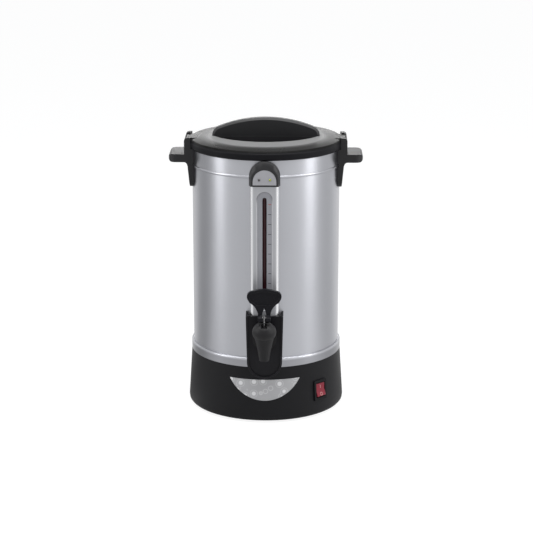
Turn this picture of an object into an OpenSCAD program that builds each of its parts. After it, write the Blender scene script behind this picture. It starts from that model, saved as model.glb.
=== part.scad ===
// Electric water boiler: a double-walled steel urn on a moulded base, with a sight
// gauge, a self-closing tap, two side handles and a lift-off lid.
// Millimetres. The origin is on the vessel's axis at floor level, +Z is up and the tap faces -Y.

/* [Vessel] */
// Outside diameter of the steel shell
shell_d = 220; // [208:1:236]
// Height of the steel shell, from the base to the rim
shell_h = 314; // [304:1:340]
// Thickness of the stainless sheet
sheet_t = 0.8; // [0.6:0.1:1]
// Air gap between the shell and the tank
jacket_gap = 4.4; // [3.6:0.1:6]
// Height of the tank's floor above the top of the base
floor_rise = 13.3; // [12:0.1:16]
// Radius of the tank's bottom corner
floor_corner = 8; // [4:0.5:12]
// Height of the wider ring at the foot of the shell
ring_h = 14; // [9:0.5:18]
// How far that ring stands out from the shell
ring_step = 3.2; // [2.4:0.1:4]
// Depth of the rolled bead below the rim
bead_drop = 28; // [26:0.5:30]
// Radius of the rolled bead's section
bead_r = 2.4; // [1.8:0.1:2.8]
// How far the rolled bead stands out
bead_proud = 1.3; // [0.9:0.1:1.6]

/* [Collar and lid] */
// How far the collar stands out from the shell
collar_proud = 4.4; // [3.6:0.1:5.2]
// Height of the collar above the tank's flange
collar_cap = 7; // [5:0.5:9]
// How far the collar reaches down over the shell
collar_skirt = 3.7; // [2:0.1:5]
// Chamfer on the collar's outer edges
collar_edge = 2.2; // [0.4:0.1:2.6]
// How far the lid's rim stays inside the collar's outside
lid_inset = 1.5; // [0.4:0.1:2]
// Height of the lid's plateau above the collar
lid_h = 4.2; // [3.8:0.1:6]
// Wall of the lid moulding
lid_t = 2.5; // [2:0.1:3]
// Width of the rounded border around the lid's plateau
lid_border = 26; // [16:0.5:28]
// How far the lid's plug reaches into the tank
plug_h = 14; // [13:0.5:18]
// Clearance between the plug and the tank
plug_gap = 2.5; // [2.2:0.1:3.5]
// Thickness of the silicone lid seal under the plug
seal_t = 1.2; // [0.8:0.1:2]
// Half length of the two finger wells
well_len = 80; // [70:1:84]
// Reach of each finger well from the lid's middle
well_reach = 51; // [44:1:56]
// Depth of the finger wells
well_depth = 12; // [8:0.5:12.5]
// Height of the arched grip above the plateau
grip_rise = 27.6; // [20:0.2:32]
// Depth of the arched grip, front to back
grip_w = 14; // [13:0.5:20]
// Radius of the arch's tighter ends
grip_end_r = 15; // [11:0.5:17]
// Bevel along the grip's edges
grip_bevel = 3; // [1:0.5:4]
// Wall of the hollow grip
grip_t = 3; // [2.2:0.2:4]
// Distance of the grip's screws from the middle
grip_screw_x = 40; // [30:1:50]
// Width of the two lugs on the lid's edge
lug_w = 33; // [24:1:36]
// How far the lugs stand out from the collar
lug_out = 3.6; // [2:0.1:4]
// Play of the lugs in the handle posts
lug_play = 0.8; // [0.5:0.1:1]

/* [Handles] */
// Width of the handles
handle_w = 56; // [50:1:62]
// Reach of the handles from the shell
handle_reach = 34; // [28:0.2:42]
// Thickness of the handle bars
bar_t = 12; // [11:0.5:14]
// Depth of the bars' undersides below the rim
bar_drop = 23.5; // [20:0.5:24]
// Distance of the posts' outer faces from the shell
post_out = 10.6; // [10.5:0.1:14]
// Height of the posts above the rim
post_rise = 13; // [10:0.5:16]
// Depth of the handle legs below the rim
leg_drop = 62; // [50:1:75]
// Distance of the legs' outer faces from the shell, at the bar
leg_top_out = 6.2; // [5:0.1:8]
// The same at the lower end
leg_end_out = 2.6; // [2:0.1:4]
// Corner radius of the bars, seen from above
bar_corner = 12; // [8:0.5:14]
// Rounding of the bars' ends, seen from the front
bar_round = 5; // [2:0.5:5.5]
// Fillet between bar and leg
bar_fillet = 5; // [3:0.5:7]
// Wall of the hollow handle bars
bar_wall = 2.6; // [2:0.1:3.4]

/* [Base] */
// Height of the skirt's lower edge above the floor
foot_h = 4; // [3:0.5:8]
// Height of the base skirt
skirt_h = 82; // [76:1:95]
// How much wider the skirt is near the floor than at the top
skirt_flare = 4.8; // [2:0.2:8]
// Wall of the skirt
skirt_t = 2.5; // [2.2:0.1:3]
// Height of the rounded lower edge of the skirt
skirt_edge = 6; // [4:0.5:8]
// How far the lower edge is drawn in
skirt_edge_in = 2.2; // [1:0.1:3]
// Inner radius of the deck that carries the shell
deck_hole_r = 96; // [88:1:98]
// Height of the deck's rim inside the shell
deck_rim_h = 5; // [3:0.5:7]
// Thickness of the base plate
plate_t = 2.5; // [2:0.1:3.5]
// Distance of the base plate above the skirt's lower edge
plate_rise = 1.5; // [1:0.1:2.5]
// Radius of a rubber foot
foot_r = 7; // [5:0.5:9]
// Distance of the feet from the axis
foot_pitch_r = 99; // [90:1:100]
// Turn of the four feet from the front
foot_turn = 10; // [0:1:20]
// Vent slots in the base plate
vent_count = 16; // [8:1:20]
// Half width of the silver panel
panel_half_w = 52; // [40:1:60]
// Height of the silver panel's top edge above the skirt's lower edge
panel_top = 63.5; // [56:0.5:66]
// Height of the silver panel
panel_h = 32.3; // [24:0.1:40]
// Thickness of the silver panel
panel_t = 1; // [0.8:0.1:1.4]

/* [Switch and inlet] */
// Turn of the switch from the front
switch_az = 45; // [38:1:60]
// Height of the switch above the skirt's lower edge
switch_z = 37.4; // [30:0.2:50]
// Width of the switch bezel
bezel_w = 25; // [22:0.5:28]
// Height of the switch bezel
bezel_h = 31; // [29:0.5:36]
// Width of the rocker
rocker_w = 17; // [13:0.5:17]
// Radius of the rocker's rounded ends about its pin
rocker_r = 10.8; // [9:0.1:11]
// How far the rocker's ends stand out when it is level
rocker_out = 5.6; // [5:0.1:6.5]
// Tilt of the rocker either side of level
rocker_tilt = 8; // [6:0.5:10]
// Height of the mains inlet above the skirt's lower edge
inlet_z = 34; // [28:0.5:44]
// Width of the inlet flange
inlet_w = 32; // [31:0.5:36]
// Height of the inlet flange
inlet_h = 26; // [24:0.5:30]

/* [Gauge] */
// Width of the steel gauge channel
spine_w = 41.6; // [38:0.2:44]
// How far the channel stands out from the shell
spine_out = 10; // [9.6:0.1:11]
// Rounding of the channel's long edges
spine_round = 4.8; // [3:0.2:5.5]
// Depth of the channel's top below the rim
spine_drop = 35; // [33:0.5:36]
// Width of the pressed panel around the slot
press_w = 22.5; // [16:0.5:26]
// Depth of the pressed panel
press_depth = 0.8; // [0.3:0.1:0.9]
// Width of the sight slot
slot_w = 6; // [4:0.5:6]
// Height of the slot's lower end above the channel's foot
slot_rise = 31.8; // [24:0.2:60]
// Depth of the slot's top below the rim
slot_drop = 55.8; // [52:0.2:70]
// Margin between the slot and the pressed panel's end
press_margin = 8.4; // [6:0.2:10]
// Outside diameter of the sight tube
tube_d = 6.6; // [5:0.1:6.8]
// Wall of the sight tube
tube_t = 0.9; // [0.6:0.1:1.2]

/* [Indicator] */
// Width of the indicator hood
hood_w = 45; // [43:0.5:48]
// Depth of the hood's lower edge below the rim
hood_drop = 39; // [38.5:0.5:41]
// How far the hood stands out from the shell
hood_out = 13.6; // [13:0.1:16]
// Slope of the hood's front, from upright
hood_tilt = 9; // [5:1:12]
// Width of the silver face
face_w = 34; // [30:0.5:36]
// Height of the silver face
face_h = 21.6; // [19:0.2:23]
// Thickness of the silver face
face_t = 1.2; // [0.8:0.1:1.6]
// Distance of each lamp from the middle
lamp_x = 7.85; // [6:0.05:9]
// Height of the lamps above the face's lower edge
lamp_z = 7.7; // [6:0.1:10]
// Radius of a lamp
lamp_r = 1.9; // [1.5:0.1:2.5]

/* [Tap] */
// Distance of the tap's axis from the shell
tap_reach = 35; // [33:0.5:42]
// Height of the tap's shank above the base
tap_z = 49; // [46:0.5:52]
// Radius of the threaded shank
shank_r = 7; // [6:0.1:7.4]
// Radius of the water passage in the shank
passage_r = 4.3; // [3:0.1:4.5]
// Radius of the flange against the shield
flange_r = 17.5; // [15:0.5:19]
// Thickness of that flange
flange_t = 3; // [2:0.5:3.5]
// Length of the spout below the shank
spout_drop = 27; // [24:0.5:34]
// Outside radius at the spout's mouth
spout_r = 7.25; // [6.6:0.05:8]
// Radius of the spout's bore
spout_bore_r = 4.6; // [3.5:0.1:5]
// Outside radius of the valve body under the bonnet
bowl_r = 14.2; // [13.6:0.1:15]
// Radius of the valve chamber
chamber_r = 8; // [7.5:0.1:8.4]
// Radius of the round bonnet
bonnet_r = 17.6; // [17:0.1:18]
// Radius of the bonnet's rounding
bonnet_round = 13.5; // [12.5:0.1:14.5]
// Height of the bonnet's widest part above its seam
bonnet_low = 8.2; // [7.6:0.1:9]
// Height of the bonnet's neck
neck_h = 3.4; // [3:0.1:6]
// Outside radius of the neck
neck_r = 9; // [8.6:0.1:9.6]
// Radius of the valve stem
stem_r = 2.2; // [1.8:0.1:2.6]
// Radius of the silicone seat cup
cup_r = 6.4; // [5.6:0.1:6.6]
// Height of the seat cup
cup_h = 6; // [5:0.5:7]
// Lift of the stem for each radian of the lever
lift_per_rad = 5; // [4:0.2:5]
// Tilt of the lever at full flow
lever_tilt = 50; // [40:1:55]
// Height of the lever's pin above its heel
heel_h = 5.2; // [4.6:0.1:6]
// Radius of the lever's pin
lever_pin_r = 1.5; // [1.2:0.1:1.6]
// Width of the lever's fork
fork_w = 18.4; // [16:0.2:19]
// Width of the lever's paddle
paddle_w = 50; // [44:0.5:56]
// Height of the paddle's top above the pin
paddle_top = 43; // [39:0.5:50]
// Thickness of the paddle
paddle_t = 6; // [5:0.5:8]
// Wire radius of the closing spring
wire_r = 0.45; // [0.35:0.05:0.55]
// Turns of the closing spring
spring_turns = 6; // [4:1:7]
// Width of the shield's lower end
shield_w = 51.6; // [50:0.2:56]
// How much wider the shield is at its top
shield_flare = 3.2; // [1:0.2:5]
// How far the shield's rim stands out from the shell
shield_out = 16; // [15.5:0.1:18]
// Depth of the shield's panel behind its rim
shield_recess = 3; // [2:0.2:3.4]
// Wall of the shield
shield_t = 2.4; // [2:0.1:3]
// How far the shield hangs below the top of the base
shield_drop = 13.2; // [10:0.2:18]
// Height of the shield's panel above the base
shield_h = 82; // [78:0.5:88]
// Slope of the shield's side walls towards the shell
shield_slope = 10; // [4:1:20]

/* [Heater] */
// Radius of the aluminium heater plate
heater_r = 80; // [72:1:86]
// Thickness of the heater plate
heater_t = 3.5; // [2.5:0.1:4]
// Radius of the heating element's loop
element_r = 60; // [50:1:64]
// Radius of the element's rod
rod_r = 3.3; // [2.6:0.1:3.6]
// Opening angle of the element's loop
element_gap = 40; // [30:1:60]
// Radius of the tie bolt
bolt_r = 3; // [2.5:0.1:4]

/* [Fits] */
// Clearance of pieces that lie on the shell or on each other
fit = 0.2; // [0.15:0.05:0.25]
// Running clearance of pins and stems
run = 0.06; // [0.03:0.01:0.1]
// Clearance between bodies that move past each other
pass = 0.4; // [0.3:0.05:0.5]

/* [Hidden] */

$fn = 96;
// Overlap that carries a cut past the face it opens
cut = 1;
// Length that carries a cutter right through a wall
through = 20;

// Radii of the vessel
shell_r = shell_d / 2;
shell_in = shell_r - sheet_t;
tank_out = shell_in - jacket_gap;
tank_r = tank_out - sheet_t;
ring_r = shell_r + ring_step;
collar_r = shell_r + collar_proud;
lid_r = collar_r - lid_inset;
plug_r = tank_r - plug_gap;
bead_c = shell_r + bead_proud - bead_r;

// Levels above the floor
z_deck = foot_h + skirt_h;
z_floor = z_deck + floor_rise;
z_rim = z_deck + shell_h;
z_flange = z_rim + sheet_t;
z_seat = z_flange + collar_cap;
z_top = z_seat + lid_h;
z_bead = z_rim - bead_drop;
z_collar = z_rim - collar_skirt;
z_plug = z_seat - plug_h;
z_liner = z_plug - seal_t;
z_heater = z_floor - sheet_t - heater_t;
z_plate = foot_h + plate_rise;

// Base
skirt_top_r = ring_r - fit;
skirt_foot_r = skirt_top_r + skirt_flare;
skirt_draft = atan(skirt_flare / (skirt_h - skirt_edge));
function skirt_radius(z) = skirt_top_r + (z_deck - z) * tan(skirt_draft);
lip_r = skirt_foot_r - skirt_edge_in;
plate_r = skirt_foot_r - skirt_edge_in / 4 - skirt_t - fit;
boss_r = 4.5;
boss_h = 16;
boss_inset = 1.6;
boss_pitch_r = plate_r - boss_r - boss_inset;
boss_turn = foot_turn + 45;
rib_t = 3;
rib_r = skirt_foot_r - 0.7 * skirt_t;
base_screw_r = 1.6;
base_screw_len = 11;
screw_head_r = 3.2;
screw_head_t = 2;
foot_peg_r = 2.4;
peg_head = 1.6;
vent_w = 4;
vent_len = 22;
vent_r = 58;
bolt_down = 5;
bolt_nut_t = 4;

// Switch, in a frame on the skirt's surface with -Y facing out
pocket = 0.9;
bezel_t = 2.2;
rocker_pin_y = 2.4;
rocker_pin_r = 1.5;
rocker_pin_len = 1.2;
well_gap = 0.3;
housing_in = 1.6;
housing_depth = 22;
rocker_depth = 8;
tab_w = 6.3;
tab_t = 0.8;
tab_len = 9;

// Inlet, in a frame like the switch's
inlet_flange_t = 2;
socket_w = 24.6;
socket_h = 16.6;
socket_depth = 14;
socket_wall = 1.6;
socket_chamfer = 5;
blade_w = 2;
blade_h = 4;
blade_len = 11;
blade_tail = 9;
blade_x = 7;
blade_z = 2;

// Heater
element_leg = 16;
sensor_x = 24;
sensor_y = -14;
sensor_r = 8;
sensor_h = 9;
sensor_brim = 2;
sensor_brim_t = 1.2;
sensor_tab = 6;
lead_r = 1.3;
lead_gap = 0.12;

// Gauge
spine_y = -(shell_r + spine_out);
z_spine = z_rim - spine_drop;
z_slot = z_rim - slot_drop;
tube_r = tube_d / 2;
tube_y = -(shell_r + (spine_out - sheet_t - press_depth) / 2);
cap_t = 0.7;
cap_h = 9;
socket_in = 8;
z_tube_top = z_slot + 6;
tee_w = 13;
tee_wall = 3.4;
tee_port_r = 1.5;
tee_tall = 7;

// Indicator, in a frame on the hood's front face with -Y facing out
z_hood = z_rim - hood_drop;
hood_h = hood_drop - collar_skirt - fit;
hood_bevel = 3;
hood_wall = 2.2;
face_rise = 2.2;
face_play = 0.15;
board_t = 1.4;
board_back = 7.6;
wire_hole_r = 3;

// Tap
tap_y = -(shell_r + tap_reach);
z_shank = z_deck + tap_z;
shield_y = -(shell_r + shield_out);
panel_y = shield_y + shield_recess;
panel_back = panel_y + shield_t;
tee_front = panel_back + fit;
z_spout = z_shank - spout_drop;
z_seam = z_shank + shank_r + 0.8;
z_bulge = z_seam + bonnet_low;
bulge_c = bonnet_r - bonnet_round;
z_bonnet = z_bulge + sqrt(pow(bonnet_round, 2) - pow(neck_r - bulge_c, 2));
z_neck = z_bonnet + neck_h;
z_pin = z_neck + pass + heel_h;
z_cup = z_shank - passage_r - 2.6;
collar_up = 7.2;
z_ceiling = z_seam + collar_up + 2.2;
thread_wall = 3;
nut_t = 8;
nut_r = 13.6;
gasket_t = 2.2;
gasket_r = 11;
gasket_flat = tank_r - gasket_t;
shank_end = gasket_flat - nut_t - 1.5;
neck_wall = 2.4;
neck_window = 9;
window_foot = 7;
stem_top = 2.6;
slot_half = stem_r + pass;
lever_neck_w = 17.4;
z_shield_foot = z_deck - shield_drop;
z_shield_top = z_deck + shield_h;
spine_foot = z_shank + shank_r + tee_wall + tee_tall;
z_slot_end = spine_foot + slot_rise;
z_tee = spine_foot - fit;
stem_foot = 2.5;
stem_button_r = stem_r + 1.4;
stem_button_t = 1.6;

// Handles and fasteners
z_bar = z_rim - bar_drop;
z_leg = z_rim - leg_drop;
z_post = z_rim + post_rise;
bar_x = shell_r + handle_reach;
post_x = shell_r + post_out;
handle_screw_r = 2;
handle_screw_turn = 8;
handle_screw_len = 8;
z_handle_screw = z_bar + bar_t / 2;
grip_boss_r = 4.4;
grip_screw_r = 1.5;
grip_screw_len = 12;
strip_t = lid_t + 1.5;
strip_dip = 0.6;
liner_screw_count = 3;
liner_boss_r = 4;
liner_out = 22;
liner_pitch_r = well_reach + liner_out;
lug_x = collar_r + lug_out;
lug_t = 3.4;

// Flat ring around the axis
module ring(r_in, r_out, z0, z1) {
  rotate_extrude()
    translate([r_in, z0])
      square([r_out - r_in, z1 - z0]);
}

// Rectangle with rounded corners, centred
module rounded_rect(w, h, r) {
  square([w - 2 * r, h], center = true);
  square([w, h - 2 * r], center = true);
  for (x = [-1, 1], y = [-1, 1])
    translate([x * (w / 2 - r), y * (h / 2 - r)])
      circle(r);
}

// Upright slot with round ends, from z0 to z1
module slot_outline(w, z0, z1) {
  translate([-w / 2, z0 + w / 2])
    square([w, z1 - z0 - w]);
  for (z = [z0 + w / 2, z1 - w / 2])
    translate([0, z])
      circle(w / 2);
}

// Outline in X and Z, pushed along Y from y0 to y1
module along_y(y0, y1) {
  translate([0, y1, 0])
    rotate([90, 0, 0])
      linear_extrude(y1 - y0)
        children();
}

// Outline in Y and Z, pushed along X from x0 to x1
module along_x(x0, x1) {
  translate([x0, 0, 0])
    rotate([90, 0, 90])
      linear_extrude(x1 - x0)
        children();
}

// Round bar along Y
module bar_y(r, y0, y1, z) {
  translate([0, y0, z])
    rotate([-90, 0, 0])
      cylinder(r = r, h = y1 - y0);
}

// Round bar along X
module bar_x_round(r, x0, x1) {
  translate([x0, 0, 0])
    rotate([0, 90, 0])
      cylinder(r = r, h = x1 - x0);
}

// Pan-head screw that points up, with its head's flat at z = 0
module screw_up(r, len, head_r, head_t) {
  translate([0, 0, -head_t])
    cylinder(r = head_r, h = head_t);
  cylinder(r = r, h = len);
}

// Round wire along a list of points, with six sides; side is a direction it never runs along
module wire(path, r, side) {
  sides = 6;
  last = len(path) - 1;
  rings = [
    for (i = [0 : last])
      let (
        a = path[max(i - 1, 0)],
        b = path[min(i + 1, last)],
        t = (b - a) / norm(b - a),
        u0 = cross(t, side),
        u = u0 / norm(u0),
        v = cross(t, u)
      )
      for (k = [0 : sides - 1])
        path[i] + r * (cos(k * 360 / sides) * u + sin(k * 360 / sides) * v)
  ];
  sides_list = [
    for (i = [0 : last - 1], k = [0 : sides - 1])
      let (k2 = (k + 1) % sides, p = i * sides, q = p + sides)
      each [[p + k, p + k2, q + k2], [p + k, q + k2, q + k]]
  ];
  ends = [
    for (k = [1 : sides - 2])
      each [[0, k + 1, k], [last * sides, last * sides + k, last * sides + k + 1]]
  ];
  polyhedron(rings, concat(sides_list, ends));
}

// Half section of the shell's outside, drawn in by inset
module shell_section(inset, past) {
  translate([0, z_deck - past])
    square([shell_r - inset, shell_h + 2 * past]);
  translate([0, z_deck - past])
    square([ring_r - inset, ring_h - ring_step + past]);
  translate([shell_r, z_deck + ring_h - ring_step])
    circle(ring_step - inset);
  translate([bead_c, z_bead])
    circle(bead_r - inset);
}

// Half section of the tank's outside, drawn in by inset
module tank_section(inset, past) {
  z0 = z_floor - sheet_t;
  translate([0, z0 + floor_corner])
    square([tank_out - inset, z_flange - z0 - floor_corner + past]);
  translate([0, z0 + inset])
    square([tank_out - floor_corner, floor_corner]);
  translate([tank_out - floor_corner, z0 + floor_corner])
    circle(floor_corner - inset);
}

module outer_shell() {
  color("silver")
    difference() {
      rotate_extrude()
        difference() {
          shell_section(0, 0);
          shell_section(sheet_t, cut);
        }
      bar_y(shank_r + fit, -ring_r - cut, 0, z_shank);
      bar_y(wire_hole_r, -ring_r - cut, 0, z_hood + hood_h / 2);
      handle_screw_holes();
    }
}

module tank() {
  color("gainsboro")
    difference() {
      rotate_extrude() {
        difference() {
          tank_section(0, 0);
          tank_section(sheet_t, cut);
        }
        translate([tank_r, z_rim])
          square([shell_r - tank_r, sheet_t]);
      }
      bar_y(shank_r + fit, -ring_r, 0, z_shank);
    }
}

module rim_collar() {
  e = collar_edge;
  color("#2b2b2d")
    rotate_extrude()
      polygon([
        [tank_r, z_flange],
        [tank_r, z_seat],
        [collar_r - e, z_seat],
        [collar_r, z_seat - e],
        [collar_r, z_collar + e],
        [collar_r - e, z_collar],
        [shell_r + fit, z_collar],
        [shell_r + fit, z_flange]
      ]);
}

// Everything inside the skirt's outer face, moved in by inset
module skirt_section(inset) {
  polygon([
    [0, foot_h],
    [lip_r - inset, foot_h],
    [skirt_foot_r - skirt_edge_in / 4 - inset, foot_h + skirt_edge / 3],
    [skirt_foot_r - inset, foot_h + skirt_edge],
    [skirt_top_r - inset, z_deck],
    [0, z_deck]
  ]);
}

// Frame on the skirt's face, turned by az, with -Y facing out
module on_skirt(az, z) {
  rotate([0, 0, az])
    translate([0, -skirt_radius(z), z])
      rotate([-skirt_draft, 0, 0])
        children();
}

// Outline of the silver panel, moved in by inset
module panel_outline(inset) {
  arc_r = (pow(panel_half_w, 2) + pow(panel_h, 2)) / (2 * panel_h);
  z1 = foot_h + panel_top;
  intersection() {
    translate([0, z1 - panel_h + arc_r])
      circle(arc_r - inset);
    translate([-arc_r, z1 - panel_h])
      square([2 * arc_r, panel_h - inset]);
  }
}

// Seats of the base screws
module at_bosses() {
  for (k = [0 : 3])
    rotate([0, 0, boss_turn + 90 * k])
      translate([0, -boss_pitch_r, z_plate + plate_t])
        children();
}

module base_skirt() {
  deck_t = skirt_t;
  color("#262628")
    difference() {
      union() {
        difference() {
          rotate_extrude()
            difference() {
              skirt_section(0);
              translate([0, -deck_t])
                skirt_section(skirt_t);
            }
          translate([0, 0, z_deck - deck_t - cut])
            cylinder(r = deck_hole_r, h = deck_t + 2 * cut);
        }
        ring(shell_r - fit, ring_r - sheet_t - fit, z_deck - cut, z_deck + deck_rim_h);
        at_bosses() {
          cylinder(r = boss_r, h = boss_h);
          translate([-rib_t / 2, boss_pitch_r - rib_r, 0])
            cube([rib_t, rib_r - boss_pitch_r, boss_h]);
        }
      }
      at_bosses()
        translate([0, 0, -cut])
          cylinder(r = base_screw_r + run, h = base_screw_len + cut + fit);
      intersection() {
        rotate_extrude()
          difference() {
            skirt_section(-cut);
            skirt_section(panel_t - fit);
          }
        along_y(-skirt_foot_r - cut, 0)
          panel_outline(0);
      }
      on_skirt(switch_az, foot_h + switch_z)
        hole_in_wall(bezel_w, bezel_h, housing_in);
      on_skirt(180, foot_h + inlet_z)
        hole_in_wall(inlet_w, inlet_h, housing_in);
    }
}

// Shallow seat for a flange, with a smaller opening through the wall
module hole_in_wall(w, h, step) {
  along_y(-through, pocket)
    square([w + 2 * fit, h + 2 * fit], center = true);
  along_y(-through, housing_depth)
    square([w - 2 * step + 2 * fit, h - 2 * step + 2 * fit], center = true);
}

module trim_panel() {
  color("#a9a9ad")
    intersection() {
      rotate_extrude()
        difference() {
          skirt_section(-fit);
          skirt_section(panel_t - fit - 0.02);
        }
      along_y(-skirt_foot_r - cut, 0)
        panel_outline(fit);
    }
}

// Places of the four feet
module at_feet() {
  for (k = [0 : 3])
    rotate([0, 0, foot_turn + 90 * k])
      translate([0, -foot_pitch_r, z_plate])
        children();
}

module base_plate() {
  color("#303032")
    difference() {
      translate([0, 0, z_plate])
        cylinder(r = plate_r, h = plate_t);
      at_feet()
        translate([0, 0, -cut])
          cylinder(r = foot_peg_r + run, h = plate_t + 2 * cut);
      at_bosses()
        translate([0, 0, -plate_t - cut])
          cylinder(r = base_screw_r + fit, h = plate_t + 2 * cut);
      translate([0, 0, z_plate - cut])
        cylinder(r = bolt_r + fit, h = plate_t + 2 * cut);
      for (k = [0 : vent_count - 1])
        rotate([0, 0, k * 360 / vent_count])
          translate([vent_r, 0, z_plate - cut])
            linear_extrude(plate_t + 2 * cut)
              rounded_rect(vent_len, vent_w, vent_w / 2 - 0.1);
    }
}

module base_screws() {
  color("lightgray")
    at_bosses()
      translate([0, 0, -plate_t])
        screw_up(base_screw_r, base_screw_len + plate_t, screw_head_r, screw_head_t);
}

module feet() {
  color("#1c1c1c")
    at_feet() {
      translate([0, 0, -z_plate])
        cylinder(r1 = foot_r - 1, r2 = foot_r, h = z_plate);
      cylinder(r = foot_peg_r, h = plate_t);
      translate([0, 0, plate_t])
        cylinder(r1 = foot_peg_r + 0.8, r2 = foot_peg_r, h = peg_head);
    }
}

module switch_housing() {
  inner_w = rocker_w + 2 * well_gap;
  inner_h = 2 * (rocker_r + well_gap);
  color("#1e1e20")
    on_skirt(switch_az, foot_h + switch_z)
      difference() {
        union() {
          along_y(-bezel_t, pocket)
            rounded_rect(bezel_w, bezel_h, 1.5);
          along_y(0, housing_depth)
            square([bezel_w - 2 * housing_in, bezel_h - 2 * housing_in], center = true);
        }
        along_y(-bezel_t - cut, rocker_pin_y + rocker_depth)
          square([inner_w, inner_h], center = true);
        translate([0, rocker_pin_y, 0])
          bar_x_round(rocker_pin_r + run, -rocker_w / 2 - rocker_pin_len - fit,
            rocker_w / 2 + rocker_pin_len + fit);
      }
}

// The rocker is drawn with its lower end standing out
module switch_rocker() {
  dip = 1.7;
  color("#c4161c")
    on_skirt(switch_az, foot_h + switch_z)
      translate([0, rocker_pin_y, 0])
        rotate([-rocker_tilt, 0, 0]) {
          intersection() {
            along_x(-rocker_w / 2, rocker_w / 2)
              polygon([
                [-rocker_out, -rocker_r],
                [dip - rocker_out, 0],
                [-rocker_out, rocker_r],
                [rocker_r / 3, rocker_r],
                [rocker_r / 2, 0],
                [rocker_r / 3, -rocker_r]
              ]);
            bar_x_round(rocker_r, -rocker_w, rocker_w);
          }
          bar_x_round(rocker_pin_r, -rocker_w / 2 - rocker_pin_len, rocker_w / 2 + rocker_pin_len);
        }
}

module switch_tabs() {
  color("goldenrod")
    on_skirt(switch_az, foot_h + switch_z)
      for (x = [-1, 1], z = [-1, 1])
        translate([x * bezel_w / 5, housing_depth + tab_len / 2, z * bezel_h / 5])
          cube([tab_t, tab_len, tab_w], center = true);
}

// Outline of the inlet's socket, grown by w
module socket_outline(w) {
  x = socket_w / 2 + w;
  z = socket_h / 2 + w;
  polygon([
    [-x, -z], [x, -z], [x, z - socket_chamfer], [x - socket_chamfer, z],
    [socket_chamfer - x, z], [-x, z - socket_chamfer]
  ]);
}

module at_blades() {
  for (p = [[-blade_x, -blade_z], [0, blade_z], [blade_x, -blade_z]])
    translate([p[0], socket_depth, p[1]])
      children();
}

module inlet_socket() {
  color("#1b1b1c")
    on_skirt(180, foot_h + inlet_z)
      difference() {
        union() {
          along_y(-inlet_flange_t, pocket)
            rounded_rect(inlet_w, inlet_h, 2);
          along_y(0, socket_depth + 3)
            socket_outline(socket_wall);
        }
        along_y(-inlet_flange_t - cut, socket_depth)
          socket_outline(0);
        at_blades()
          cube([blade_w + run, through, blade_h + run], center = true);
      }
}

module inlet_pins() {
  color("khaki")
    on_skirt(180, foot_h + inlet_z)
      at_blades()
        translate([0, (blade_tail - blade_len) / 2, 0])
          cube([blade_w, blade_len + blade_tail, blade_h], center = true);
}

module heater_plate() {
  color("lightgray")
    translate([0, 0, z_heater])
      cylinder(r = heater_r, h = heater_t);
}

module heating_element() {
  color("dimgray") {
    rotate([0, 0, 90 + element_gap / 2])
      rotate_extrude(angle = 360 - element_gap)
        translate([element_r, z_heater - rod_r]) {
          circle(rod_r);
          translate([-rod_r, 0])
            square([2 * rod_r, rod_r]);
        }
    for (s = [-1, 1])
      rotate([0, 0, 90 + s * element_gap / 2])
        translate([element_r, 0, z_heater - rod_r]) {
          sphere(rod_r - 0.05);
          translate([0, 0, -element_leg])
            cylinder(r = rod_r - 0.4, h = element_leg);
        }
  }
}

// Small round sensor that hangs under the heater plate
module sensor(x) {
  translate([x, sensor_y, z_heater - sensor_h]) {
    cylinder(r = sensor_r, h = sensor_h);
    translate([0, 0, sensor_h - sensor_brim_t])
      cylinder(r = sensor_r + sensor_brim, h = sensor_brim_t);
    for (s = [-1, 1])
      translate([s * sensor_r / 2, 0, -sensor_tab / 2])
        cube([tab_t, tab_w, sensor_tab], center = true);
  }
}

module thermostat() {
  color("peru")
    sensor(sensor_x);
}

module thermal_cutout() {
  color("tan")
    sensor(-sensor_x);
}

module tie_bolt() {
  color("lightgray")
    translate([0, 0, z_plate - bolt_down])
      cylinder(r = bolt_r, h = z_heater - z_plate + bolt_down);
}

module tie_nut() {
  color("silver")
    translate([0, 0, z_plate - bolt_nut_t])
      difference() {
        cylinder(r = 2 * bolt_r, h = bolt_nut_t, $fn = 6);
        translate([0, 0, -cut])
          cylinder(r = bolt_r + run, h = bolt_nut_t + 2 * cut);
      }
}

module gauge_spine() {
  half = shell_r / 2;
  color("gainsboro")
    difference() {
      union() {
        translate([0, 0, spine_foot])
          linear_extrude(z_spine - spine_foot)
            difference() {
              translate([0, spine_y + half])
                rounded_rect(spine_w, 2 * half, spine_round);
              translate([0, spine_y + half])
                rounded_rect(spine_w - 2 * sheet_t, 2 * half - 2 * sheet_t, spine_round - sheet_t);
              circle(shell_r + fit);
              translate([-shell_r, -shell_r / 2])
                square([2 * shell_r, shell_r]);
            }
        along_y(spine_y + sheet_t / 2, spine_y + sheet_t + press_depth)
          slot_outline(press_w + 2 * sheet_t, z_slot_end - press_margin - sheet_t,
            z_slot + press_margin + sheet_t);
      }
      along_y(spine_y - cut, spine_y + press_depth)
        slot_outline(press_w, z_slot_end - press_margin, z_slot + press_margin);
      along_y(spine_y - cut, spine_y + 2 * cut + press_depth)
        slot_outline(slot_w, z_slot_end, z_slot);
    }
}

module gauge_tube() {
  z0 = z_tee - socket_in;
  color("#4a0d10")
    translate([0, tube_y, z0])
      difference() {
        cylinder(r = tube_r, h = z_tube_top - z0);
        translate([0, 0, -cut])
          cylinder(r = tube_r - tube_t, h = z_tube_top - z0 + 2 * cut);
      }
}

module gauge_cap() {
  color("#8a8a8a")
    translate([0, tube_y, z_tube_top - cap_h + cap_t])
      difference() {
        cylinder(r = tube_r + run + cap_t, h = cap_h);
        translate([0, 0, -cut])
          cylinder(r = tube_r + run, h = cap_h - cap_t + cut);
      }
}

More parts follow.
